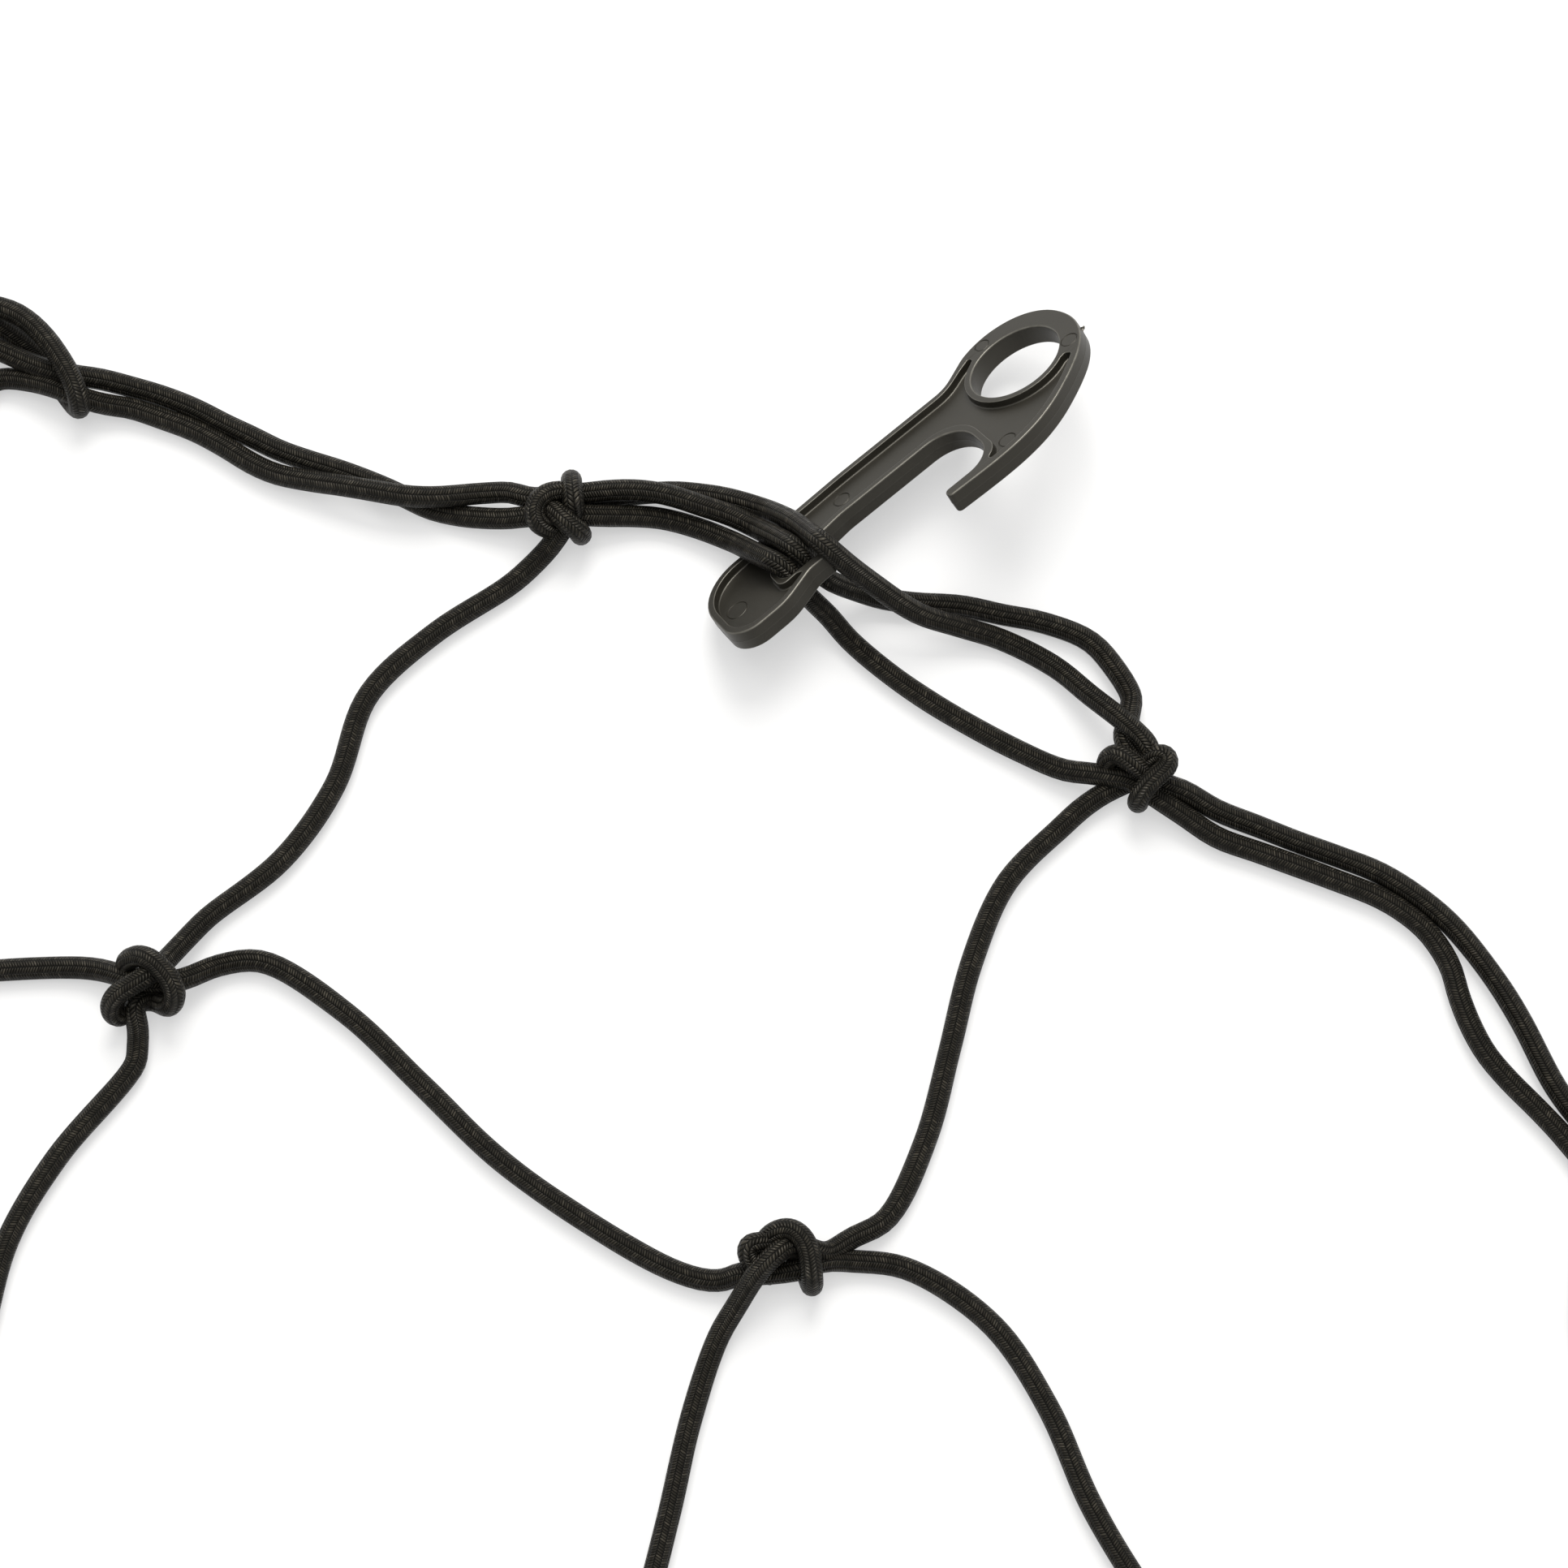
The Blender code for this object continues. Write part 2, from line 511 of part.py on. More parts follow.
def rounded(rows, steps):
    """Outline points of a polygon whose corners are rounded. Steps: degrees of turn to each step."""
    corners = []
    for row in rows:
        if row[0] == "arc":
            _, start, end = row
            count = max(2, int(abs(end - start) / steps))
            for k in range(count + 1):
                angle = math.radians(start + (end - start) * k / count)
                corners.append((HOOK_EYE["a"] + HOOK_EYE["rim"] * math.cos(angle), HOOK_EYE["b"] + HOOK_EYE["rim"] * math.sin(angle), 0.0))
        else:
            corners.append(row)
    points = []
    for k, (a, b, radius) in enumerate(corners):
        here = Vector((a, b))
        before = Vector(corners[k - 1][:2]) - here
        after = Vector(corners[(k + 1) % len(corners)][:2]) - here
        if radius <= 0.0:
            points.append(here)
            continue
        step = max(steps, 60.0) if radius < 1.5 else steps
        turn = math.pi - before.angle(after)
        reach = min(radius * math.tan(turn / 2), 0.499 * before.length if corners[k - 1][2] else before.length * 0.9,
                    0.499 * after.length if corners[(k + 1) % len(corners)][2] else after.length * 0.9)
        radius = reach / math.tan(turn / 2)
        start = here + before.normalized() * reach
        end = here + after.normalized() * reach
        middle = here + (before.normalized() + after.normalized()).normalized() * (radius / math.cos(turn / 2))
        count = max(1, int(round(math.degrees(turn) / step)))
        from_middle = start - middle
        sense = 1.0 if (-before).cross(after) > 0 else -1.0
        for n in range(count + 1):
            angle = sense * turn * n / count
            c, s = math.cos(angle), math.sin(angle)
            points.append(middle + Vector((from_middle.x * c - from_middle.y * s, from_middle.x * s + from_middle.y * c)))
    return points


def merge_flat_faces(work):
    """Joins the triangles of each flat side into as few faces as it takes."""
    bmesh.ops.dissolve_limit(work, angle_limit=math.radians(0.5), verts=work.verts, edges=work.edges, delimit={"NORMAL"})


def flat_solid(name, outlines, thickness, collection):
    """A closed mesh made by extruding flat outlines, with the upper face on z = 0 of its own frame."""
    curve = bpy.data.curves.new(name, "CURVE")
    curve.dimensions = "2D"
    curve.fill_mode = "BOTH"
    curve.extrude = 0.5 * thickness * MM
    for outline in outlines:
        spline = curve.splines.new("POLY")
        spline.points.add(len(outline) - 1)
        for point, place in zip(spline.points, outline):
            point.co = (place[0] * MM, place[1] * MM, 0.0, 1.0)
        spline.use_cyclic_u = True
    source = bpy.data.objects.new(name, curve)
    collection.objects.link(source)
    bpy.context.view_layer.update()
    mesh = bpy.data.meshes.new_from_object(source.evaluated_get(bpy.context.evaluated_depsgraph_get()))
    work = bmesh.new()
    work.from_mesh(mesh)
    bmesh.ops.remove_doubles(work, verts=work.verts, dist=0.00001)
    bmesh.ops.recalc_face_normals(work, faces=work.faces)
    merge_flat_faces(work)
    bmesh.ops.translate(work, verts=work.verts, vec=(0.0, 0.0, -0.5 * thickness * MM))
    work.to_mesh(mesh)
    work.free()
    bpy.data.objects.remove(source, do_unlink=True)
    obj = bpy.data.objects.new(name, mesh)
    collection.objects.link(obj)
    return obj


def circle(a, b, radius, count):
    return [(a + radius * math.cos(math.tau * k / count), b + radius * math.sin(math.tau * k / count)) for k in range(count)]


def hook_mesh(cutters, material):
    """The hook's mesh: the outline with its eye, less a pocket in each face. X is a, Y is -b, the upper face is z = 0."""
    eye = circle(HOOK_EYE["a"], HOOK_EYE["b"], HOOK_EYE["radius"], 12)
    outline, pocket = rounded(HOOK_OUTLINE, 34.0), rounded(HOOK_POCKET_OUTLINE, 60.0)
    outline, eye, pocket = ([(a, -b) for a, b in places] for places in (outline, eye, pocket))
    body = flat_solid("hook_blank", [outline, eye], HOOK_THICKNESS, cutters)
    for name, level in (("pocket_upper", HOOK_POCKET), ("pocket_lower", HOOK_POCKET)):
        cutter = flat_solid(name, [pocket], 2 * level, cutters)
        cutter.location.z = level * MM if name == "pocket_upper" else (level - HOOK_THICKNESS) * MM
        cutter.hide_render = True
        cutter.display_type = "WIRE"
        cut = body.modifiers.new(name, "BOOLEAN")
        cut.operation = "DIFFERENCE"
        cut.solver = "EXACT"
        cut.object = cutter
    bpy.context.view_layer.update()
    mesh = bpy.data.meshes.new_from_object(body.evaluated_get(bpy.context.evaluated_depsgraph_get()))
    mesh.name = "hook"
    work = bmesh.new()
    work.from_mesh(mesh)
    merge_flat_faces(work)
    work.to_mesh(mesh)
    work.free()
    mesh.materials.clear()
    mesh.materials.append(material)
    bpy.data.objects.remove(body, do_unlink=True)
    mesh.shade_smooth()
    mesh.set_sharp_from_angle(angle=math.radians(35.0))
    return mesh


def main():
    clear_scene()
    net = new_collection("pickup_bed_cargo_net")
    cutters = new_collection("cutters")
    cutters.hide_render = True
    cord = new_material("shock_cord", (0.012, 0.012, 0.011), 0.75)
    plastic = new_material("hook_plastic", (0.02, 0.02, 0.018), 0.45)

    middle = bpy.data.objects.new("net_middle", None)
    middle.location = (-CENTRE_X * MM, -CENTRE_Y * MM, 0.0)
    net.objects.link(middle)

    for index in range(1, ROWS):
        pieces = divided(mesh_cord("row", index), [knot(column, index) for column in ROW_CUTS])
        for number, path in enumerate(pieces, 1):
            cord_object(f"row_{index}_{number}", path, middle, net, cord)
    for index in range(1, COLUMNS):
        pieces = divided(mesh_cord("column", index), [knot(index, row) for row in COLUMN_CUTS.get(index, ())])
        for number, path in enumerate(pieces, 1):
            cord_object(f"column_{index}_{number}" if len(pieces) > 1 else f"column_{index}", path, middle, net, cord)
    for side in SIDES:
        for number, path in enumerate(border_strands(side), 1):
            cord_object(f"border_{side}_{number}", path, middle, net, cord)
        for section in TURNS[side]:
            cord_object(f"turn_{side}_{section}", turn_strand(side, section), middle, net, cord)

    shape = hook_mesh(cutters, plastic)
    count = 0
    for side in SIDES:
        for section in HOOKS[side]:
            count += 1
            origin, axis, across, normal = hook_frame(side, section)
            hook = bpy.data.objects.new(f"hook_{count}", shape)
            turn = Matrix((axis, -across, normal)).transposed()
            hook.rotation_mode = "QUATERNION"
            hook.rotation_quaternion = turn.to_quaternion()
            hook.location = origin * MM
            hook.parent = middle
            net.objects.link(hook)


main()
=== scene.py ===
"""Looks of the pickup bed cargo net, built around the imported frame: braided shock cord with its real knots, and the
moulded plastic hooks. Lengths are in millimetres in the net's own frame until a mesh is made."""

import math

import bmesh
import bpy
import numpy as np
from mathutils import Matrix, Vector
from mathutils.geometry import tessellate_polygon


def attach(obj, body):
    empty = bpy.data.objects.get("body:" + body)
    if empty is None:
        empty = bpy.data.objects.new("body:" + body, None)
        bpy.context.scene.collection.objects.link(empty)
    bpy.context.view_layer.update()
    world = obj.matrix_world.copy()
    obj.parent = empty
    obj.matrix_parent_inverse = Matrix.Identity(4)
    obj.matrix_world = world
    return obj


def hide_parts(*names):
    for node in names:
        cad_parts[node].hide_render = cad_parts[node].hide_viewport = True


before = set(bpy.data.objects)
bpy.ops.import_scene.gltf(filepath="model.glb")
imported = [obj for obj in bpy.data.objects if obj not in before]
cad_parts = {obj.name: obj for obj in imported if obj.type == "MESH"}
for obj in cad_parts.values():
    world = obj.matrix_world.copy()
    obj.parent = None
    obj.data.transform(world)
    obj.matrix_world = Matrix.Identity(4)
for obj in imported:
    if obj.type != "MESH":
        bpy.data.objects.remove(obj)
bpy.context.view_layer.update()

MM = 0.001

# ---------------------------------------------------------------------------------------------------------------------
# Camera, floor and light
# ---------------------------------------------------------------------------------------------------------------------
CAMERA_AT = (353.95, 191.0, 941.8)
LOOKS_AT = (220.25, 405.0, 0.0)
FOCAL = 99.92

scene = bpy.context.scene
camera = bpy.data.objects.new("camera", bpy.data.cameras.new("camera"))
camera.data.lens = FOCAL
camera.data.sensor_width = 36.0
camera.data.clip_start, camera.data.clip_end = 0.05, 50.0
camera.location = Vector(CAMERA_AT) * MM
camera.rotation_mode = "QUATERNION"
camera.rotation_quaternion = (Vector(LOOKS_AT) - Vector(CAMERA_AT)).to_track_quat("-Z", "Y")
scene.collection.objects.link(camera)
scene.camera = camera
scene.view_settings.view_transform = "Standard"
scene.view_settings.look = "None"
scene.view_settings.exposure = 0.0

FLOOR_RADIUS = 40.0
floor_mesh = bpy.data.meshes.new("floor")
floor_mesh.from_pydata([(FLOOR_RADIUS * math.cos(math.tau * k / 96), FLOOR_RADIUS * math.sin(math.tau * k / 96), -0.0003)
                        for k in range(96)], [], [tuple(range(96))])
floor = bpy.data.objects.new("floor", floor_mesh)
scene.collection.objects.link(floor)
floor_material = bpy.data.materials.new("floor_paper")
floor_material.use_nodes = True
floor_shader = floor_material.node_tree.nodes["Principled BSDF"]
floor_shader.inputs["Base Color"].default_value = (0.22, 0.22, 0.22, 1.0)
floor_shader.inputs["Roughness"].default_value = 0.9
floor_shader.inputs["Specular IOR Level"].default_value = 0.1
# The paper is lit from behind, as on a light table. Far from the net it fades into the white round it.
floor_nodes, floor_links = floor_material.node_tree.nodes, floor_material.node_tree.links
floor_place = floor_nodes.new("ShaderNodeTexCoord")
floor_distance = floor_nodes.new("ShaderNodeVectorMath")
floor_distance.operation = "LENGTH"
floor_fade = floor_nodes.new("ShaderNodeMapRange")
floor_fade.interpolation_type = "SMOOTHSTEP"
for socket, value in (("From Min", 1.2), ("From Max", 4.5), ("To Min", 0.5), ("To Max", 0.74)):
    floor_fade.inputs[socket].default_value = value
floor_links.new(floor_place.outputs["Object"], floor_distance.inputs[0])
floor_links.new(floor_distance.outputs["Value"], floor_fade.inputs["Value"])
floor_shader.inputs["Emission Color"].default_value = (1.0, 1.0, 1.0, 1.0)
floor_links.new(floor_fade.outputs["Result"], floor_shader.inputs["Emission Strength"])
floor_mesh.materials.append(floor_material)

world = bpy.data.worlds.new("studio")
world.use_nodes = True
world.node_tree.nodes["Background"].inputs["Color"].default_value = (1.0, 1.0, 1.0, 1.0)
world.node_tree.nodes["Background"].inputs["Strength"].default_value = 0.95
scene.world = world


def area_light(name, way, elevation, distance, size, power, colour):
    """A square soft box. Way: its direction on the floor from the middle of the view, in degrees from +X."""
    light = bpy.data.lights.new(name, "AREA")
    light.shape = "SQUARE"
    light.size = size
    light.energy = power
    light.color = colour
    obj = bpy.data.objects.new(name, light)
    middle = Vector(LOOKS_AT) * MM
    turn, rise = math.radians(way), math.radians(elevation)
    offset = Vector((math.cos(turn) * math.cos(rise), math.sin(turn) * math.cos(rise), math.sin(rise)))
    obj.location = middle + offset * distance
    obj.rotation_mode = "QUATERNION"
    obj.rotation_quaternion = (-offset).to_track_quat("-Z", "Y")
    scene.collection.objects.link(obj)
    return obj


area_light("key", 118.0, 50.0, 2.6, 1.4, 120.0, (1.0, 0.985, 0.955))
area_light("top", 150.0, 80.0, 2.8, 2.0, 60.0, (1.0, 0.99, 0.97))

# ---------------------------------------------------------------------------------------------------------------------
# How the net lies
# ---------------------------------------------------------------------------------------------------------------------
COLUMNS, ROWS = 8, 6
COLUMN_PITCH = 143.0
ROW_PITCH = 138.0
CELL_CORD = 150.0
MOST_SWAY = 21.0
PAIR_OFFSET = 2.9
CENTRE_X, CENTRE_Y = -143.15, -432.5
CORD_RADIUS = 2.5
LOW = 2.5                     # axis height of a cord that lies on the surface

HOOK_THICKNESS = 5.33
HOOK_POCKET = 1.9
HOOK_EYE = {"a": 76.6, "b": -5.6, "radius": 11.2, "rim": 12.9}
HOOK_ALONG = 50.2
HOOK_SHIFT = 5.0
HOOK_OUT = -0.1
HOOK_HEIGHT = 13.78
HOOK_AXIS = (0.4397, 0.8898, 0.1224)
HOOK_ACROSS = (0.6139, -0.3973, 0.6821)

PLACED_KNOTS = {
    (4, 0): (-144.8, -46.2), (5, 0): (0.0, 0.0), (6, 0): (142.0, 16.8), (7, 0): (288.0, -27.0), (8, 0): (419.0, -60.0),
    (4, 1): (-150.0, -193.0), (5, 1): (-17.9, -142.1), (6, 1): (133.2, -117.6), (7, 1): (277.0, -154.0),
    (5, 2): (-8.0, -288.0), (6, 2): (143.0, -262.0),
}
MESH_SWAYS = {
    ("column", 5, 0): (0.8, -3.0, -5.1, 2.8, 4.8, 0.7),
    ("column", 6, 0): (-6.2, -8.1, -4.0, 3.5, 10.7, 13.9),
    ("column", 5, 1): (6.4, 2.6, 2.4, 8.0, 12.0, 8.0),
    ("column", 6, 1): (-2.3, -0.5, 5.2, 10.0, 12.0, 8.0),
    ("column", 7, 0): (15.0, 28.5, 36.5, 37.5, 30.0, 16.5),
    ("row", 4, 1): (-9.0, -16.0, -18.0, -13.0, -5.0, 1.8),
    ("row", 5, 1): (15.2, 11.7, 3.5, -4.9, -9.9, -12.7),
    ("row", 6, 1): (17.1, 21.8, 18.0, 10.0, 5.0, 2.0),
}
TURNS = {"top": (1, 3, 5, 7), "right": (1, 3, 5), "bottom": (1, 3, 5, 7), "left": (1, 3, 5)}
HOOKS = {"top": (1, 3, 5, 7), "right": (1, 3), "bottom": (1, 3, 5, 7), "left": (1, 3)}
SIDES = ("top", "right", "bottom", "left")
CROSSING_SECTION = ("top", 4)

# Rows x, y, z in the net's own frame of the border pair between knots 4 and 5 of the top side, which changes places,
# and of the slack bight that knot 4 has thrown round it.
CROSSING_ROWS = {
    "outer": (
        (-139.5, -42.2, 5.4), (-135.6, -38.6, 5.5), (-128.8, -36.8, 5.6), (-123.9, -36.2, 6.0), (-117.6, -35.4, 6.9),
        (-110.8, -33.2, 7.0), (-105.6, -30.3, 5.2), (-99.4, -27.7, 3.2), (-91.9, -25.5, 2.6), (-83.8, -24.1, 2.5),
        (-75.2, -23.5, 2.5), (-69.5, -22.9, 2.5), (-61.7, -22.2, 2.5), (-54.2, -20.6, 2.5), (-46.6, -18.7, 2.5),
        (-38.3, -17.2, 2.5), (-31.2, -16.4, 2.5), (-25.1, -15.8, 2.5), (-18.7, -13.7, 2.5),
    ),
    "inner": (
        (-125.6, -41.9, 3.0), (-119.5, -39.0, 4.0), (-112.2, -37.5, 6.2), (-106.5, -36.6, 6.6), (-103.0, -35.3, 5.0),
        (-99.7, -33.6, 3.6), (-96.5, -32.0, 3.0), (-89.0, -30.1, 2.5), (-81.0, -28.6, 2.6), (-72.3, -28.2, 2.8),
        (-65.4, -28.3, 3.0), (-59.2, -27.6, 3.4), (-51.7, -25.3, 4.6), (-44.4, -22.7, 6.2), (-37.2, -20.1, 7.2),
        (-30.2, -17.3, 7.4), (-24.7, -14.0, 7.0), (-19.3, -10.0, 5.8),
    ),
    "bight": (
        (-149.0, -40.0, 6.5), (-145.2, -34.9, 8.0), (-139.5, -31.4, 9.0), (-133.0, -29.1, 10.0), (-128.7, -28.4, 10.5),
        (-123.5, -28.9, 11.0), (-118.3, -30.4, 11.4), (-113.3, -32.6, 11.6), (-109.3, -34.7, 11.6), (-106.4, -36.8, 11.0),
        (-105.1, -38.3, 9.0), (-105.2, -38.7, 6.0), (-106.8, -38.3, 3.5), (-110.1, -37.0, 2.5), (-113.8, -35.4, 2.5),
        (-117.9, -33.4, 2.5), (-121.7, -32.4, 3.0), (-126.0, -31.9, 4.0), (-132.1, -31.9, 5.0), (-138.4, -34.0, 6.0),
        (-144.3, -38.5, 6.5),
    ),
}
# The same of the pair between knots 6 and 7 of the top side
WIDE_SECTION = ("top", 6)
WIDE_ROWS = {
    "outer": (
        (162.7, 17.8, 3.0), (172.2, 19.6, 2.5), (181.7, 21.2, 2.5), (191.1, 23.1, 2.5), (200.6, 24.7, 2.5),
        (212.2, 24.3, 2.5), (220.8, 22.6, 2.5), (233.7, 17.5, 2.5), (243.4, 12.3, 2.5), (256.4, 3.8, 2.5),
        (263.0, 0.6, 2.5), (273.4, -3.2, 2.6), (281.4, -10.2, 3.2), (284.6, -18.0, 4.6), (287.4, -25.4, 6.2),
    ),
    "inner": (
        (165.8, 12.5, 2.8), (175.2, 14.5, 2.5), (184.4, 16.4, 2.5), (193.7, 18.2, 2.5), (203.2, 19.8, 2.5),
        (210.6, 19.7, 2.5), (217.0, 18.4, 2.5), (224.3, 14.6, 2.5), (229.5, 9.6, 2.5), (235.0, 5.2, 2.5),
        (241.0, 1.6, 2.5), (248.0, -0.9, 2.5), (256.8, -3.2, 2.5), (265.6, -5.9, 2.5), (273.8, -9.6, 2.6),
        (278.6, -16.4, 3.2), (281.0, -24.4, 4.6), (286.2, -30.6, 6.2),
    ),
}

# A border section with a hook. "chord": mm along, mm outward, height. "end": the same, but along from the next knot.
# "hook": a, b, c on the hook and the cord's radius as a share.
HOOKED_STRANDS = {
    "outer": (
        ("chord", 4.3, 4.6, 6.3), ("chord", 8.9, 7.4, 6.4), ("chord", 14.0, 9.8, 6.8), ("chord", 19.0, 11.4, 7.2),
        ("chord", 24.1, 12.4, 7.1), ("chord", 29.3, 13.0, 6.8), ("chord", 36.0, 13.9, 6.2),
        ("hook", 8.0, -15.2, 2.8, 1.0), ("hook", 8.75, -11.0, 2.8, 1.0), ("hook", 9.9, -4.8, 2.85, 1.0),
        ("hook", 10.8, 0.6, 2.6, 0.97), ("hook", 11.5, 2.3, 0.6, 0.93), ("hook", 11.8, 2.35, -2.6, 0.92),
        ("hook", 12.0, 2.3, -5.6, 0.93),
        ("hook", 13.0, 2.6, -9.6, 0.97),
        ("chord", 69.2, 9.8, 6.2), ("chord", 75.5, 11.6, 3.2), ("chord", 82.0, 13.8, 2.5), ("chord", 92.3, 17.8, 2.5),
        ("chord", 101.5, 19.9, 2.5), ("chord", 110.0, 22.0, 2.5), ("chord", 121.5, 22.6, 2.6),
        ("end", -14.3, 19.5, 2.8), ("end", -7.2, 14.2, 3.2), ("end", -6.4, 11.4, 4.0), ("end", -5.5, 7.6, 5.5),
        ("end", -4.8, 3.8, 6.6),
    ),
    "inner": (
        ("chord", 6.6, -0.2, 6.3), ("chord", 11.0, 2.2, 5.0), ("chord", 15.8, 5.0, 3.6), ("chord", 22.0, 7.5, 3.0),
        ("chord", 30.3, 8.8, 3.4),
        ("hook", 2.0, -16.2, 2.9, 1.0), ("hook", 3.2, -10.2, 2.85, 1.0), ("hook", 4.4, -3.6, 2.85, 1.0),
        ("hook", 5.5, 0.7, 2.5, 0.97), ("hook", 6.4, 2.3, 0.6, 0.93), ("hook", 6.7, 2.35, -2.6, 0.92),
        ("hook", 6.8, 2.3, -5.6, 0.93),
        ("hook", 7.0, 2.6, -9.6, 0.97),
        ("chord", 66.4, 2.0, 5.4), ("chord", 72.7, -0.4, 2.9), ("chord", 84.4, -3.7, 2.5), ("chord", 95.8, -5.8, 2.5),
        ("chord", 107.0, -7.0, 2.5), ("chord", 117.0, -7.6, 2.5),
        ("end", -14.3, -7.7, 3.6), ("end", -8.2, -6.2, 5.0), ("end", -2.2, -4.7, 6.3), ("end", 0.3, -4.1, 6.5),
    ),
    "turn": (
        ("chord", 2.0, 1.0, 3.6), ("chord", 7.0, 5.2, 2.6), ("chord", 12.0, 9.0, 2.5), ("chord", 17.0, 12.1, 2.5),
        ("chord", 22.2, 14.8, 2.5), ("chord", 30.0, 17.4, 2.8), ("chord", 34.5, 18.2, 3.6),
        ("hook", 12.4, -18.4, 2.9, 1.0), ("hook", 13.8, -13.0, 2.8, 1.0), ("hook", 15.0, -6.4, 2.8, 1.0),
        ("hook", 15.6, 1.5, 2.8, 1.0), ("hook", 16.0, 7.5, 2.9, 1.0),
        ("chord", 67.4, 10.5, 19.4), ("chord", 73.9, 10.2, 15.0), ("chord", 79.8, 9.9, 11.6), ("chord", 85.7, 10.2, 8.6),
        ("chord", 94.3, 12.4, 5.2), ("chord", 103.8, 14.4, 2.6), ("chord", 117.0, 13.6, 3.0),
        ("end", -15.3, 9.9, 6.0), ("end", -8.5, 7.7, 8.0), ("end", -3.4, 5.9, 9.0), ("end", 0.6, 4.0, 9.5),
        ("end", 2.0, 2.7, 8.0),
    ),
}

